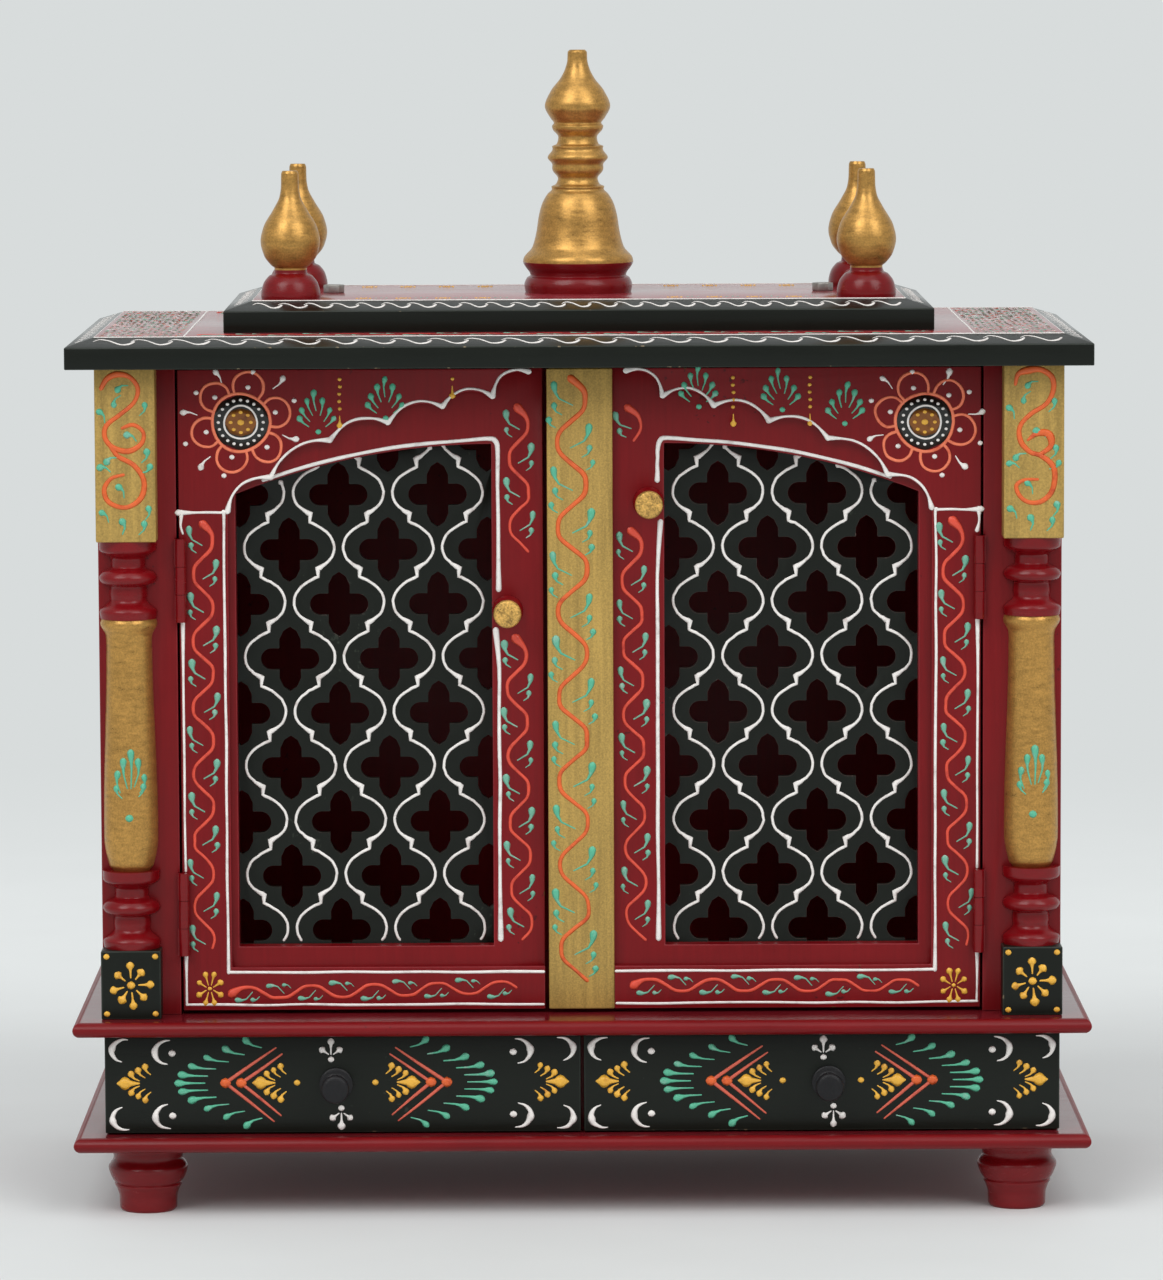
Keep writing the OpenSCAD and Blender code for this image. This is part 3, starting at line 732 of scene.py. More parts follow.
def pressed(on, paint, lines):
    """Squeezes the lines of one paint on to a sheet: round at first, then flattened on the board."""
    curve = bpy.data.curves.new("strokes", "CURVE")
    curve.dimensions = "3D"
    curve.bevel_depth = 0.5
    curve.bevel_resolution = 1
    curve.use_fill_caps = True
    for points in lines:
        spline = curve.splines.new("POLY")
        spline.points.add(len(points) - 1)
        for station, (across, up, width) in zip(spline.points, points):
            station.co = (across, up, 0, 1)
            station.radius = width
    pick(stand("strokes", curve))
    bpy.ops.object.convert(target="MESH")
    piece = bpy.context.active_object
    put(piece, on.place @ Matrix.Diagonal((1, 1, on.thick, 1)))
    dress(piece, PAINTS[paint])
    bpy.ops.object.shade_smooth()
    return piece


# ---------------------------------------------------------------- doors

OVERLAY_STILE = 29.4
OVERLAY_RAIL = 26.0
SCALLOPS = [[29.4, 86], [55.3, 66], [90.8, 44], [125.7, 33.5], [158.2, 24], [188.3, 18], [209.9, 3.2]]
SCALLOP_SPAN = 218
SCALLOP_BULGE = 7.3
HOLE_PITCH_X = 29.8
HOLE_PITCH_Z = 66.0
HOLE_START_X = 2.7
HOLE_START_Z = 8.1
WINDOW_RISE = 29.6
WINDOW_LOW = 38.0
WINDOW_DROP = 45.4
WINDOW_SIDE = {LEFT: 33.7, RIGHT: 37.0}
WINDOW_MEET = 30.8
FLOWER_MIDDLE = {LEFT: (37.7, 355.2), RIGHT: (33.6, 353.6)}
STILE_VINE = {LEFT: 14.4, RIGHT: 17.0}
LINE = 1.6
BLOB = 3.6
LOW_HINGE = 59.0
TOP_HINGE_DOWN = 126.0
HINGE_CLEAR = 26
# Upright sprays on each overlay: across, up and lean; then the bead strings: across and number of beads
SPRAYS = {
    LEFT: ((83.6, 363.0, -0.1), (123.9, 371.0, 0.0)),
    RIGHT: ((169.0, 377.0, 0.0), (119.1, 375.0, -0.1), (81.8, 366.5, 0.1))}
PENDANTS = {LEFT: ((96.8, 5), (164.2, 1)), RIGHT: ((148.0, 5), (102.2, 5))}
# Half of an ogee line's wave: across, up and width
OGEE_HALF = (
    (-2.4, 16.6, 2.0), (3.6, 13.6, 1.7), (9.6, 8.6, 1.7), (12.2, 2.0, 1.7), (10.8, -4.4, 1.7),
    (6.8, -8.6, 1.9), (2.0, -11.6, 3.6))


def flower(on, middle, side):
    """The spandrel flower: six looped petals round a dotted eye, with drops and dots about it."""
    ground = sheet(on.body, on.place.translation, thick=0.012)
    dot(ground, "black", middle, 34.5)
    heart = sheet(on.body, on.place @ Vector((0, 0, 0.16)), thick=0.014)
    dot(heart, "brown", middle, 18.5)
    ring(on, "salmon", middle, 17.4, 2.0)
    ring(on, "white", middle, 9.9, 1.5)
    for i in range(20):
        dot(on, "white", round_from(middle, math.tau * i / 20, 13.4), 2.1)
    dot(on, "yellow", middle, 4.4)
    for i in range(8):
        dot(on, "yellow", round_from(middle, math.tau * i / 8, 6.0), 2.7)

    def around(degrees, r):
        angle = math.radians(degrees)
        return (middle[0] - side * r * math.cos(angle), middle[1] + r * math.sin(angle))

    for i in range(6):
        way = 15 + 60 * i + hand.uniform(-4, 4)
        middle_u, middle_v = around(way, 21.5)
        loop_r = hand.uniform(8.6, 9.8)
        loop = []
        for k in range(9):
            angle = math.radians(way + 128 * (k / 4 - 1))
            across = middle_u - side * loop_r * math.cos(angle)
            loop.append((across, middle_v + loop_r * math.sin(angle), 1.8))
        line(on, "salmon", loop, 3, 0.15)
        dot(on, "white", around(way, 21.5), 3.1)
    for degrees, r in ((46, 36.5), (116, 33.5), (170, 35.0), (228, 36.0), (343, 34.5)):
        drop(on, "white", around(degrees, r), around(degrees, r - 8.5), 3.8, 0.1)
    for degrees, r in ((22, 34.5), (76, 31.0), (146, 32.0), (201, 35.5), (252, 33.5)):
        dot(on, "white", around(degrees, r), 3.1)


SPRAY_DROPS = (
    (0, 22.0), (-4.6, 17.0), (4.6, 17.0), (-8.4, 11.0), (8.4, 11.0), (-10.2, 5.6), (10.2, 5.6))


def spray(on, root, lean):
    """Seven upright teal drops over a dot, their tails drawn down and in."""
    for across, up in SPRAY_DROPS:
        head = (root[0] + across + lean * up, root[1] + up * 0.95)
        tail = (root[0] + across * 0.5 + lean * up * 0.4, root[1] + (up * 0.62 - 3.0) * 0.95)
        drop(on, "teal", head, tail, 3.7, 0.06 if across > 0 else -0.06)
    dot(on, "teal", (root[0] + 0.4, root[1] - 2.6), 3.4)


def pendant(on, u, top, beads):
    for i in range(beads):
        dot(on, "yellow", (u + hand.uniform(-0.3, 0.3), top - 4.4 * i), 2.3)
    drop(on, "yellow", (u, top - 4.4 * beads - 5.5), (u, top - 4.4 * beads), 3.6)


def rosette(on, middle, size, width):
    """A small yellow flower of eight drops with their heads outwards."""
    for i in range(8):
        angle = math.tau * (i + 0.5) / 8
        head = (middle[0] + size * math.cos(angle) * 0.72, middle[1] + size * math.sin(angle))
        drop(on, "yellow", head, round_from(middle, angle, 2.4), width)
    dot(on, "yellow", middle, 2.6)


def scallop_line(on, place, door_h, width):
    """The white line along the scallops, thick where two scallops meet."""
    stretch = (width - OVERLAY_STILE) / (SCALLOP_SPAN - OVERLAY_STILE)
    stops = [(OVERLAY_STILE + (x - OVERLAY_STILE) * stretch, door_h - down + 1.6) for x, down in SCALLOPS]
    for start, stop in zip(stops, stops[1:]):
        dx, dy = stop[0] - start[0], stop[1] - start[1]
        long = math.hypot(dx, dy)
        points = []
        for k in range(7):
            share = k / 6
            lift = SCALLOP_BULGE * 4 * share * (1 - share)
            across, up = start[0] + dx * share - dy / long * lift, start[1] + dy * share + dx / long * lift
            points.append(place(across, up, BLOB if k in (0, 6) else LINE))
        line(on, "white", points, 3, 0.1)


def ogee_lines(on, place, x0, x1, arch):
    """White lines between the columns of holes, from the arch down to the window's foot."""
    for c in range(int((x1 - x0) / HOLE_PITCH_X) + 1):
        middle = x1 - HOLE_START_X - (c + 0.5) * HOLE_PITCH_X
        if middle < x0 + 9:
            continue
        ceiling = arch(middle) - 0.4
        path = []
        for row in range(15, -3, -1):
            # The hole of this half row stands on the meeting side when row and column agree
            sway = -1 if (row % 2 == 1) == (c % 2 == 0) else 1
            level = WINDOW_LOW + HOLE_START_Z + HOLE_PITCH_Z / 2 * row
            path += smooth([(middle + sway * u, level + v, w) for u, v, w in OGEE_HALF], 3)
        for i, (upper, lower) in enumerate(zip(path, path[1:])):
            if upper[1] > ceiling >= lower[1]:
                share = (ceiling - lower[1]) / (upper[1] - lower[1])
                path[i] = tuple(b + share * (a - b) for a, b in zip(upper, lower))
        path = [point for point in path if WINDOW_LOW + 1.5 < point[1] <= ceiling + 0.01]
        path = [(u + hand.gauss(0, 0.1), v + hand.gauss(0, 0.1), w) for u, v, w in path]
        path[0] = path[0][:2] + (3.4,)
        on.add("white", rounded([place(*point) for point in path]))


def paint_door(side):
    word = SIDES[side]
    body = word + "_door"
    low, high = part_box(f"door_{word}_board")
    over_low, over_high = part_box(f"door_{word}_overlay")
    lattice_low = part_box(f"door_{word}_lattice")[0]
    knob_low, knob_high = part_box(f"door_{word}_knob")
    door_h = (high.z - low.z) / MM
    hinge_x = (over_high.x if side == RIGHT else over_low.x) / MM
    seen = (over_high.x - over_low.x) / MM
    floor = low.z / MM
    face = sheet(body, (0, over_low.y, 0))
    board = sheet(body, (0, low.y, 0))
    inner = sheet(body, (0, lattice_low.y, 0))

    def place(across, up, *rest):
        """From the hinge edge and the door's bottom to the sheet."""
        return (hinge_x - side * across, floor + up) + rest

    # White lines on the overlay
    gate = OVERLAY_STILE - 2.4
    frame_top = door_h - SCALLOPS[0][1] + 0.5
    line(face, "white", [place(x - 0.2, frame_top, LINE if x else BLOB) for x in (0, 9, 18, gate)], 3)
    hook = ((1.4, 0, 3.2), (1.0, 4, 1.9), (1.2, 8, 1.6), (2.2, 12.5, 2.6 if side == RIGHT else 1.4))
    line(face, "white", [place(x, frame_top - down, w) for x, down, w in hook], 3)
    upright = [place(gate + hand.uniform(-0.3, 0.3), frame_top - 4 - 27 * i, 1.7) for i in range(10)]
    line(face, "white", [place(gate, frame_top, 3.0)] + upright + [place(gate, OVERLAY_RAIL - 3, 2.4)], 3)
    step = (seen - gate - 1.0) / 8
    line(face, "white", [
        place(gate + 0.2 + step * i, OVERLAY_RAIL - 3.2 + hand.uniform(-0.3, 0.3), 1.8)
        for i in range(9)], 3)
    for bottom, top in ((3.5, LOW_HINGE - HINGE_CLEAR),
                        (LOW_HINGE + HINGE_CLEAR, door_h - TOP_HINGE_DOWN - HINGE_CLEAR)):
        count = max(2, int((top - bottom) / 25))
        step = (top - bottom) / count
        line(face, "white", [
            place(1.8, bottom + step * i, 2.6 if i == count else 1.5) for i in range(count + 1)], 3)
    step = (seen - 3.0) / 9
    line(face, "white", [place(1.8 + step * i, 3.2 + hand.uniform(-0.3, 0.3), 1.6) for i in range(10)], 3)
    scallop_line(face, place, door_h, seen)

    # Window lines on the board
    x0, x1 = WINDOW_SIDE[side], seen - WINDOW_MEET
    top = door_h - WINDOW_DROP
    span = x1 - x0
    arc = (span * span + WINDOW_RISE * WINDOW_RISE) / (2 * WINDOW_RISE)

    def arch(x):
        return top - arc + math.sqrt(arc * arc - (x1 - x) ** 2)

    step = (span - 17) / 7
    edge = [place(x, arch(x) + 2.2, 2.2) for x in (x0 + 17 + step * i for i in range(7))]
    corner = [place(x1 - 2, top + 3.0, 2.8), place(x1 + 2.4, top + 1.6, 3.2), place(x1 + 3.8, top - 4, 2.6)]
    gap_top = knob_high.z / MM - floor + 3.5
    gap_low = knob_low.z / MM - floor - 2.5
    step = (top - 4 - gap_top) / 4
    upper = [place(x1 + 4.0, top - 4 - step * i, BLOB if i == 4 else 2.4) for i in range(1, 5)]
    line(board, "white", edge + corner + upper, 3)
    step = (gap_low - WINDOW_LOW - 4) / 8
    line(board, "white", [
        place(x1 + (4.1 if i else 2.4), gap_low - step * i, BLOB if i in (0, 8) else 2.2)
        for i in range(9)], 3)
    ogee_lines(inner, place, x0, x1, arch)

    # Spandrel
    flower(face, place(*FLOWER_MIDDLE[side]), side)
    for across, up, lean in SPRAYS[side]:
        spray(face, place(across, up - 11.0), lean)
    for across, beads in PENDANTS[side]:
        pendant(face, place(across, 0)[0], floor + door_h - 6.0, beads)

    # Vines
    vine(face, place(STILE_VINE[side], frame_top - 7), place(12.8, OVERLAY_RAIL + 8), 6.4, 40.2)
    rail = OVERLAY_RAIL / 2 + 0.2
    if side == LEFT:
        vine(face, place(29.5, rail - 3), place(seen - 16, rail), 3.8, 38.0, leaf=3.2)
    else:
        vine(face, place(seen - 12, rail + 1), place(36, rail), 3.8, 38.0, leaf=3.2)
    rosette(face, place(15.8, rail), 9.4, 3.9)
    meet = seen - 13.6
    knob_up = (knob_low.z + knob_high.z) / 2 / MM - floor
    start = meet - 3 if side == LEFT else meet + 2.5
    vine(board, place(start + 2, door_h - 24), place(meet, knob_up + 34), 6.4, 40.5)
    vine(board, place(start, knob_up - 17), place(meet, OVERLAY_RAIL + 12), 6.4, 40.5)


paint_door(LEFT)
paint_door(RIGHT)

strip_low, strip_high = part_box("door_right_strip")
strip_face = sheet("right_door", (0, strip_low.y, 0))
vine(strip_face, (-5.0, strip_high.z / MM - 6), (-4.0, strip_low.z / MM + 12), 9.2, 51.0,
     drops=3, width=3.1, head=5.2, leaf=4.6, paints=("orange", "teal"))


# ---------------------------------------------------------------- drawers

def crescent(on, middle, size, out, tip):
    """A thick curl of paint bowed outwards, thin at both ends; tip turns it a little."""
    points = []
    for k in range(9):
        share = k / 4 - 1
        angle = math.radians(88 * share + tip)
        fat = 4.4 * (1 - 0.86 * abs(share) ** 0.8)
        across = middle[0] + out * size * (math.cos(angle) - 0.6) * 1.15
        points.append((across, middle[1] + size * math.sin(angle), fat))
    line(on, "white", points, 3, 0.1)


def chevron(on, tip, arms):
    """Two strokes from a thick round tip, thin at their ends."""
    dot(on, "orange", tip, 6.4)
    for u, v in arms:
        middle = ((tip[0] + u) / 2, (tip[1] + v) / 2)
        line(on, "salmon_dark", [(tip[0], tip[1], 2.2), (middle[0], middle[1], 1.8), (u, v, 1.0)], 4)


# The fern's leaf: how far behind its tip, and how wide there
FERN_LEAF = (
    (0, 0.5), (1.6, 3.2), (3.4, 7.0), (5.2, 8.2), (7.0, 6.6), (8.6, 3.6), (12.0, 1.8), (14.0, 0.8))


def fern(on, tip, out):
    """A yellow fern: a fat leaf with a short point, and behind it two rows of drops that spread apart."""
    on.add("yellow", [(tip[0] - out * back, tip[1], width) for back, width in FERN_LEAF])
    for i in range(3):
        for lift in (1, -1):
            head = (tip[0] - out * (8.8 + 4.2 * i), tip[1] + lift * (5.6 + 2.2 * i))
            tail = (tip[0] - out * (13.6 + 3.4 * i), tip[1] + lift * (1.6 + 1.9 * i))
            drop(on, "yellow", head, tail, 4.0, 0.14 * lift * out)


def paint_drawer(side):
    word = SIDES[side]
    low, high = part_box(f"drawer_{word}_front")
    knob_low, knob_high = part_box(f"drawer_{word}_knob")
    on = sheet(word + "_drawer", (0, low.y, (low.z + high.z) / 2))
    knob_x = (knob_low.x + knob_high.x) / 2 / MM
    axis = knob_x - (4.0 if side == RIGHT else 0)
    ends = {LEFT: low.x / MM, RIGHT: high.x / MM}
    for out, end in ends.items():
        for lift in (1, -1):
            crescent(on, (end - out * 7.5, lift * 20.5), 7.0, out, lift * 14)
            crescent(on, (end - out * 33.5, lift * 19.5), 7.4, out, lift * 6)
            dot(on, "white", (end - out * 40.5, lift * 19), 4.3)
        fern(on, (end - out * 7.0, 0.8), out)
        # The fan: a double chevron with teal drops round its tip and a fern within
        chevron(on, (axis + out * 66.5, 0.8), [(axis + out * 36, 22.0), (axis + out * 37.5, -22.5)])
        chevron(on, (axis + out * 57.0, 0.8), [(axis + out * 32.5, 18.0), (axis + out * 33.5, -19.0)])
        for i in range(11):
            share = i / 5 - 1
            angle = math.radians(80 * share)
            head = (axis + out * (47 + 48 * math.cos(angle) ** 1.1), 0.8 + 26.0 * share)
            tail = (axis + out * (39 + 40 * math.cos(angle) ** 1.1), 0.8 + 21.5 * share)
            drop(on, "teal", head, tail, 4.3, 0.10 * share * out)
        fern(on, (axis + out * 50.5, 0.8), out)
        dot(on, "yellow", (axis + out * 23.5, 0.8), 3.8)
    for lift in (1, -1):
        for u, v in ((0, 25.6), (-5.0, 20.5), (5.0, 20.5)):
            head = (knob_x + u - 3 * lift, lift * v)
            drop(on, "white", head, (knob_x + u * 0.3 - 3 * lift, lift * 18.0), 4.6)
        dot(on, "white", (knob_x - 3 * lift, lift * 14.8), 3.8)


paint_drawer(LEFT)
paint_drawer(RIGHT)


# ---------------------------------------------------------------- pilasters

# Scrolls on the top blocks, down from the top: across, up and width
SCROLL_RIGHT = [
    [(-11.4, -12, 2.2), (-9.6, -5.8, 3.2), (-3.9, -3.6, 4.4), (3.6, -3.2, 3.4), (10.2, -7.6, 3.2),
     (11.4, -15, 3.0), (7.2, -23.4, 2.8), (-2.4, -30, 2.8), (-8.4, -37.5, 3.0), (-7.7, -46.5, 3.2),
     (-2.4, -52.5, 3.0), (3.6, -54.4, 3.0), (10.6, -60, 3.2), (12.6, -67.5, 3.2), (10.6, -76.5, 3.0),
     (3.6, -82.2, 2.8), (-3.9, -82.2, 2.8), (-9.2, -77.6, 2.6), (-10.2, -72, 2.6), (-5.4, -69, 2.2),
     (2.1, -68.7, 1.6)],
    [(-3.9, -45.4, 1.6), (1.2, -41.6, 3.4), (6.4, -41.0, 4.6), (9.8, -43.6, 4.6), (9.6, -49.4, 3.4),
     (3.6, -54, 2.6)]]
SCROLL_LEFT = [
    [(-13.8, -12, 2.6), (-10, -6, 3.4), (-4, -3.4, 4.2), (3.4, -5.2, 3.2), (8.4, -12, 2.8),
     (5.7, -20.2, 2.8), (-2.6, -27.7, 2.6), (-10.8, -34.4, 2.8), (-12, -41.2, 3.0), (-7, -47.2, 3.2),
     (2, -49.5, 3.2), (10, -45, 2.8), (11, -38.2, 2.6), (5, -33.7, 2.4), (-1.6, -35.6, 1.8)],
    [(-9.3, -46, 2.4), (-4, -52.4, 3.0), (5, -57.7, 3.0), (11, -66.7, 3.2), (9.4, -77.1, 3.2),
     (0.5, -83.1, 3.0), (-9.6, -80.1, 2.8), (-12.6, -72.6, 2.8), (-8.5, -65.9, 2.6), (-1, -63.7, 1.8)]]
# Leaves about them: across, up and the way the head points
SCROLL_LEAVES = [
    (-2, -12, 200), (-5, -20, 230), (11, -24, 60), (3, -41, 150), (-14, -28, 120), (12, -52, 60),
    (-9, -55, 200), (13, -60, 30), (-3, -73, 120), (13, -86, 70), (-13, -88, 130), (10, -95, 60),
    (-2, -94, 90), (-13, -60, 160)]
# The flower on the low block: the way each petal points and how far it reaches
BLOCK_PETALS = [
    (92, 11.8), (52, 9.4), (2, 11.4), (-44, 10.2), (-84, 12.4), (-122, 10.0), (-164, 10.6), (142, 9.6)]


def paint_pilaster(side):
    low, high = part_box("pilaster_" + SIDES[side])
    axis = (low.x + high.x) / 2 / MM
    top = high.z / MM
    face = sheet("root", (0, low.y, 0))
    for stroke in SCROLL_LEFT if side == LEFT else SCROLL_RIGHT:
        line(face, "orange", [(axis + u, top + v, w) for u, v, w in stroke], 4)
    for u, v, way in SCROLL_LEAVES:
        angle = math.radians(way)
        head = (axis + u + 2.0 * math.cos(angle), top + v + 2.4 * math.sin(angle))
        tail = (axis + u - 4.4 * math.cos(angle), top + v - 5.0 * math.sin(angle))
        drop(face, "teal", head, tail, 4.2, 0.2)
    middle = (axis, (low.z + LOW_BLOCK / 2) / MM)
    for way, far in BLOCK_PETALS:
        angle = math.radians(way)
        drop(face, "yellow", round_from(middle, angle, far), round_from(middle, angle, 4.6), 5.4)
    dot(face, "yellow", middle, 5.0)
    for du in (-14.6, 14.6):
        for dv in (-17.4, 17.4):
            dot(face, "yellow", (axis + du, middle[1] + dv), 3.7)


paint_pilaster(LEFT)
paint_pilaster(RIGHT)


def wrap_on_shaft(piece, axis_x, back_y, foot_z, height, radius):
    """Lays flat strokes on the round of a shaft: each point keeps its height above the wood."""
    for point in piece.data.vertices:
        share = min(max((point.co.z - foot_z) / height, 0), 1)
        reach = radius * radius_at(SHAFT_LINE, share)
        angle = (point.co.x - axis_x) / reach
        stand = back_y - point.co.y
        point.co.x = axis_x + (reach + stand) * math.sin(angle)
        point.co.y = back_y - (reach + stand) * math.cos(angle)


# The shaft's fan: each head and tail, across and up from its dot
SHAFT_DROPS = [
    (1.2, 39.4, 1.2, 18), (-3.4, 34.2, -1.0, 18), (5.6, 34.0, 3.2, 19), (-7.2, 26.4, -5.4, 15.4),
    (9.6, 24.4, 6.6, 15), (-8.2, 17.6, -4.4, 12), (9.0, 18.6, 6.0, 13)]


def paint_shaft(side):
    low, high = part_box("pilaster_" + SIDES[side])
    axis = (low.x + high.x) / 2
    foot = low.z + LOW_BLOCK + RING_STACK
    height = high.z - TOP_BLOCK - RING_STACK - foot
    on = Sheet("root", (0, high.y, 0))
    root = (axis / MM, foot / MM + 33)
    for across, up, tail_u, tail_v in SHAFT_DROPS:
        head = (root[0] + across, root[1] + up)
        drop(on, "teal", head, (root[0] + tail_u, root[1] + tail_v), 4.4, across * 0.016)
    dot(on, "teal", root, 4.8)
    piece = pressed(on, "teal", on.lines["teal"])
    wrap_on_shaft(piece, axis, high.y, foot, height, (high.x - low.x) / 2)
    return piece


shaft_paint = [paint_shaft(LEFT), paint_shaft(RIGHT)]


# ---------------------------------------------------------------- roof

def roof_sides(name):
    """The four bevels of a roof board: each one's sheet, half its length, and if it is a short side."""
    low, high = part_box(name)
    middle = (low + high) / 2
    rise = high.z - low.z - ROOF_EDGE * MM
    run = ROOF_BEVEL * MM
    half_x, half_y = (high.x - low.x) / 2, (high.y - low.y) / 2
    level = low.z + ROOF_EDGE * MM
    for out_x, out_y in ((0, -1), (1, 0), (0, 1), (-1, 0)):
        along = (-out_y, out_x, 0)
        up = (-out_x * run, -out_y * run, rise)
        origin = (middle.x + out_x * half_x, middle.y + out_y * half_y, level)
        half = (half_x if out_y else half_y) / MM
        yield sheet("root", origin, along, up), half, out_x != 0


# One running wave: shares of its pitch and of the bevel's slope, its lift and its width
ROOF_WAVE = (
    (0, 0.62, -0.2, 0.5), (0.16, 0.58, 1.0, 0.9), (0.42, 0.56, 0.5, 1.2), (0.74, 0.46, -0.9, 1.4),
    (0.98, 0.46, -0.7, 2.1), (1.10, 0.50, 0.3, 1.7))


def paint_bevels(name, pitch, size):
    """Running waves round a roof board, and a white line along the top of its bevels."""
    slope = math.hypot(ROOF_BEVEL, ROOF_RISE)
    for on, half, short_side in roof_sides(name):
        usable = half - ROOF_BEVEL
        fine = 0.5 if short_side else 1.0
        count = int(2 * usable / pitch)
        for i in range(count):
            start = -usable + pitch * i + hand.uniform(-0.4, 0.4)
            tall = size * hand.uniform(0.9, 1.1)
            line(on, "white", [(start + pitch * go, slope * level + tall * lift, fine * fat)
                               for go, level, lift, fat in ROOF_WAVE], 4, 0.06)
        step = usable / 6
        line(on, "white", [(step * i - usable, slope - 0.3, fine * 1.2) for i in range(13)], 2, 0.1)


paint_bevels("main_roof", 22.0, 3.0)
paint_bevels("upper_roof", 15.5, 2.6)

main_low, main_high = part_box("main_roof")
upper_low, upper_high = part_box("upper_roof")
roof_top = sheet("root", (0, 0, main_high.z), up=(0, 1, 0), thick=0.3)
upper_deck = sheet("root", (0, 0, upper_high.z), up=(0, 1, 0), thick=0.3)
PANEL = 53.0


MOSAIC_PAINTS = ("sage", "olive", "salmon_dark", "olive", "sage", "olive", "white")


def mosaic(on, low, high, pitch):
    """A panel of small set strokes in rows, laid all ways."""
    for column in range(int((high[0] - low[0]) / pitch)):
        for row in range(int((high[1] - low[1]) / pitch)):
            u = low[0] + pitch * (column + 0.5) + hand.uniform(-0.9, 0.9)
            v = low[1] + pitch * (row + 0.5) + hand.uniform(-0.9, 0.9)
            angle = hand.uniform(0, math.pi)
            reach = pitch * hand.uniform(0.28, 0.42)
            colour = hand.choice(MOSAIC_PAINTS)
            stroke = ((-reach, 0.4), (-0.5 * reach, 1.0), (reach, 0.4))
            on.add(colour, [round_from((u, v), angle, far) + (width,) for far, width in stroke])


edge_y = (main_low.y / MM + ROOF_BEVEL, main_high.y / MM - ROOF_BEVEL)
for out in (LEFT, RIGHT):
    far = out * (main_high.x / MM - ROOF_BEVEL)
    near = far - out * PANEL
    mosaic(roof_top, (min(far, near) + 2, edge_y[0] + 2), (max(far, near) - 2, edge_y[1] - 2), 3.7)
    line(roof_top, "white", [(near, edge_y[0] + (edge_y[1] - edge_y[0]) * i / 8, 1.5) for i in range(9)], 2)
reach = main_high.x / MM - ROOF_BEVEL - PANEL - 8
for row_y in ((edge_y[0] + upper_low.y / MM) / 2, (edge_y[1] + upper_high.y / MM) / 2):
    vine(roof_top, (-reach, row_y), (reach, row_y), 5.5, 40.0, width=1.3, head=2.6, leaf=2.6)
deck_y = (upper_low.y + upper_high.y) / 2 / MM
for out in (LEFT, RIGHT):
    for i in range(4):
        across = out * (58 + 24 * i)
        rosette(upper_deck, (across, deck_y - 66), 6, 1.8)
        rosette(upper_deck, (across, deck_y + 66), 6, 1.8)
        fan(upper_deck, "sage", (across + 11, deck_y - 68), 9, 3, 40, 1.8)


# ---------------------------------------------------------------- all strokes, by body and paint

drawn = {}
for on in sheets:
    for paint, lines in on.lines.items():
        drawn.setdefault((on.body, paint), []).append(pressed(on, paint, lines))
drawn.setdefault(("root", "teal"), []).extend(shaft_paint)
for (body, paint), pieces in drawn.items():
    finish_piece(join(f"{body}_{paint}_lines", pieces), body, None)


# ---------------------------------------------------------------- floor, light and camera

PALE = tint(216, 220, 220)
bpy.ops.object.select_all(action="DESELECT")
bpy.ops.mesh.primitive_circle_add(vertices=96, radius=30, fill_type="NGON", location=(0, 0, 0))
floor = bpy.context.active_object
floor.name = "floor"
floor_finish = bpy.data.materials.new("pale_floor")
floor_finish.use_nodes = True
tree = floor_finish.node_tree
shader = tree.nodes["Principled BSDF"]
shader.inputs["Roughness"].default_value = 0.7
shader.inputs["Specular IOR Level"].default_value = 0.2
place = node(tree, "ShaderNodeTexCoord").outputs["Object"]
mottle = noise(tree, place, 3.0, 3.0)
mottled = ramp(tree, mottle, [(0.3, shade(PALE, 1.09)), (0.7, shade(PALE, 1.15))])
tree.links.new(mottled, shader.inputs["Base Color"])
away = node(tree, "ShaderNodeVectorMath", {0: place}, operation="LENGTH").outputs["Value"]
far_share = node(tree, "ShaderNodeMapRange", {"Value": away, "From Min": 0.7, "From Max": 2.2},
                 interpolation_type="SMOOTHSTEP").outputs[0]
ray = node(tree, "ShaderNodeLightPath")
seen_ray = node(tree, "ShaderNodeMath", {
    0: ray.outputs["Is Camera Ray"], 1: ray.outputs["Is Glossy Ray"]}, operation="MAXIMUM").outputs[0]
seen_ray = node(tree, "ShaderNodeMath", {0: seen_ray, 1: ray.outputs["Is Transmission Ray"]},
                operation="MAXIMUM").outputs[0]
glow_share = node(tree, "ShaderNodeMath", {0: far_share, 1: seen_ray}, operation="MULTIPLY").outputs[0]
glow = node(tree, "ShaderNodeEmission", {"Color": shade(PALE, 1.0), "Strength": 1.0})
mixed = node(tree, "ShaderNodeMixShader", {0: glow_share, 1: shader.outputs[0], 2: glow.outputs[0]})
tree.links.new(mixed.outputs[0], tree.nodes["Material Output"].inputs["Surface"])
dress(floor, floor_finish)

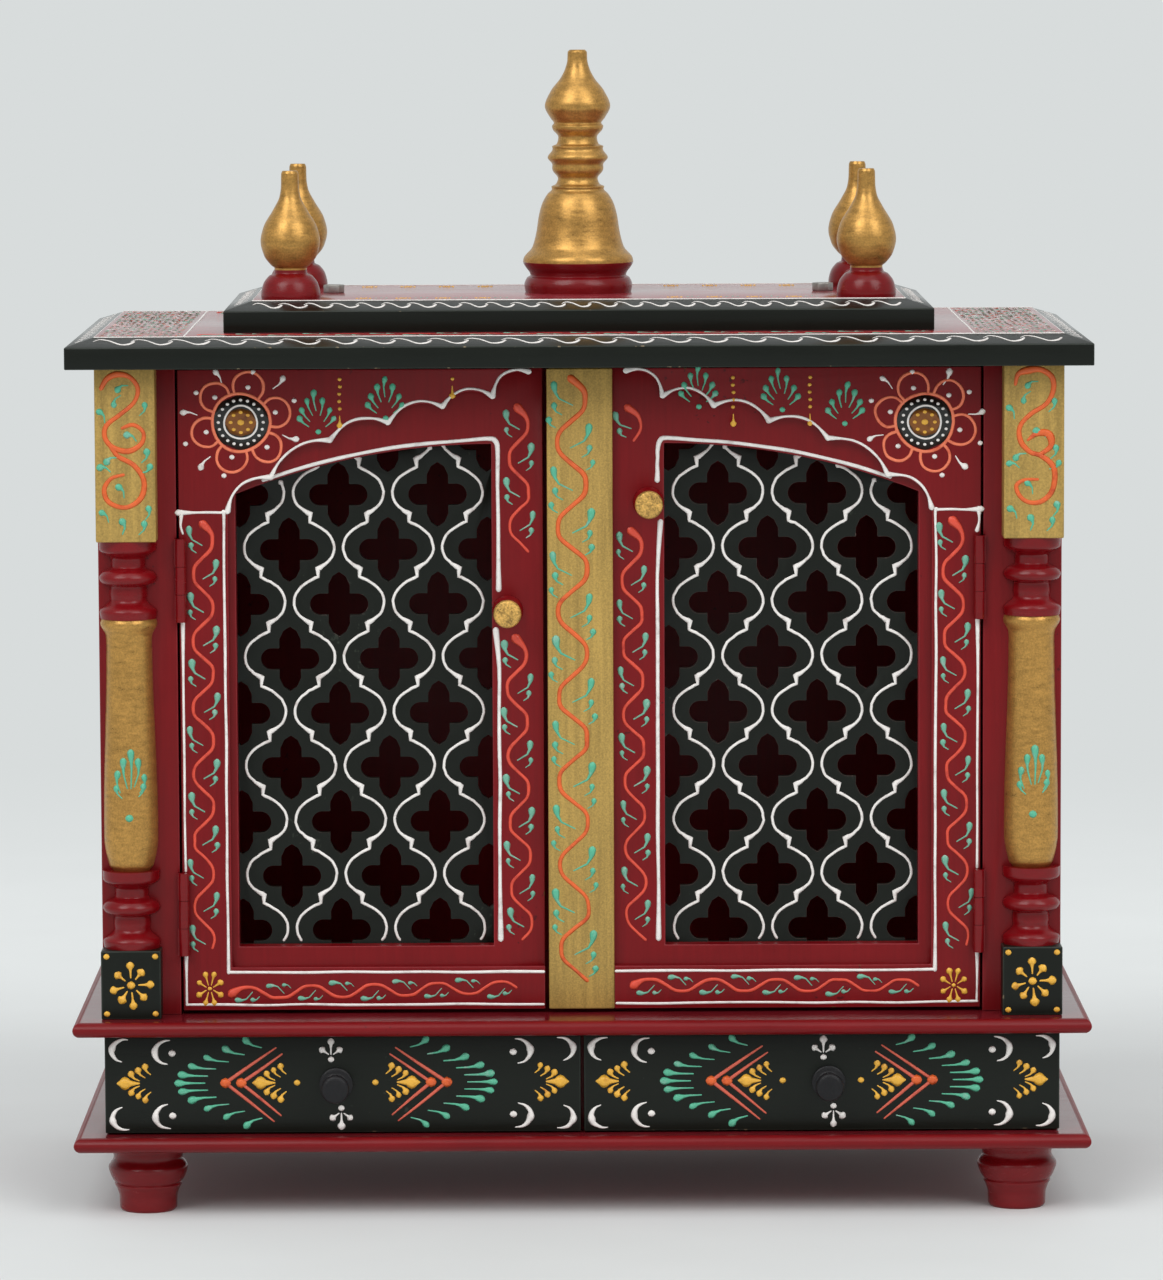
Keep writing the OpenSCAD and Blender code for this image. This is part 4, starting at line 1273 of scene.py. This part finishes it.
world = bpy.data.worlds.new("studio")
bpy.context.scene.world = world
world.use_nodes = True
tree = world.node_tree
ray = node(tree, "ShaderNodeLightPath")
soft = tree.nodes["Background"]
soft.inputs["Color"].default_value = (1.0, 1.0, 1.0, 1.0)
soft.inputs["Strength"].default_value = 0.50
backdrop = node(tree, "ShaderNodeBackground", {"Color": shade(PALE, 1.0), "Strength": 1.0})
way = node(tree, "ShaderNodeTexCoord").outputs["Generated"]
behind = node(tree, "ShaderNodeSeparateXYZ", {"Vector": way}).outputs["Y"]
behind = node(tree, "ShaderNodeMapRange", {"Value": behind, "From Min": 0.3, "From Max": 0.7}).outputs[0]
glossy = node(tree, "ShaderNodeMath", {0: behind, 1: ray.outputs["Is Glossy Ray"]},
              operation="MULTIPLY").outputs[0]
shown = node(tree, "ShaderNodeMath", {0: glossy, 1: ray.outputs["Is Camera Ray"]},
             operation="MAXIMUM").outputs[0]
mixed = node(tree, "ShaderNodeMixShader", {0: shown, 1: soft.outputs[0], 2: backdrop.outputs[0]})
tree.links.new(mixed.outputs[0], tree.nodes["World Output"].inputs["Surface"])


def softbox(name, way, height, strength, angle):
    """A wide soft lamp, far off: way is its bearing from the front, height its elevation, in degrees."""
    lamp = bpy.data.lights.new(name, "SUN")
    lamp.energy = strength * math.pi
    lamp.angle = math.radians(angle)
    holder = stand(name, lamp)
    bearing, lift = math.radians(way), math.radians(height)
    flat = math.cos(lift)
    towards = Vector((math.sin(bearing) * flat, -math.cos(bearing) * flat, math.sin(lift)))
    holder.rotation_euler = towards.to_track_quat("Z", "Y").to_euler()
    holder.location = towards * 3


softbox("left_softbox", -38, 42, 0.34, 34)
softbox("right_softbox", 40, 38, 0.26, 34)
softbox("top_softbox", 10, 70, 0.16, 50)

camera = bpy.data.cameras.new("camera")
camera.lens = 188.0
camera.sensor_width = 36.0
camera.sensor_fit = "VERTICAL"
camera.sensor_height = 36.0
camera.clip_end = 200
viewer = stand("camera", camera)
viewer.matrix_world = (
    Matrix.Translation((-0.0110, -4.0999, 0.7677))
    @ Matrix.Rotation(math.radians(-0.168), 4, "Z")
    @ Matrix.Rotation(math.radians(90 - 6.041), 4, "X")
    @ Matrix.Rotation(math.radians(-0.248), 4, "Z"))
bpy.context.scene.camera = viewer
bpy.context.scene.view_settings.view_transform = "Standard"
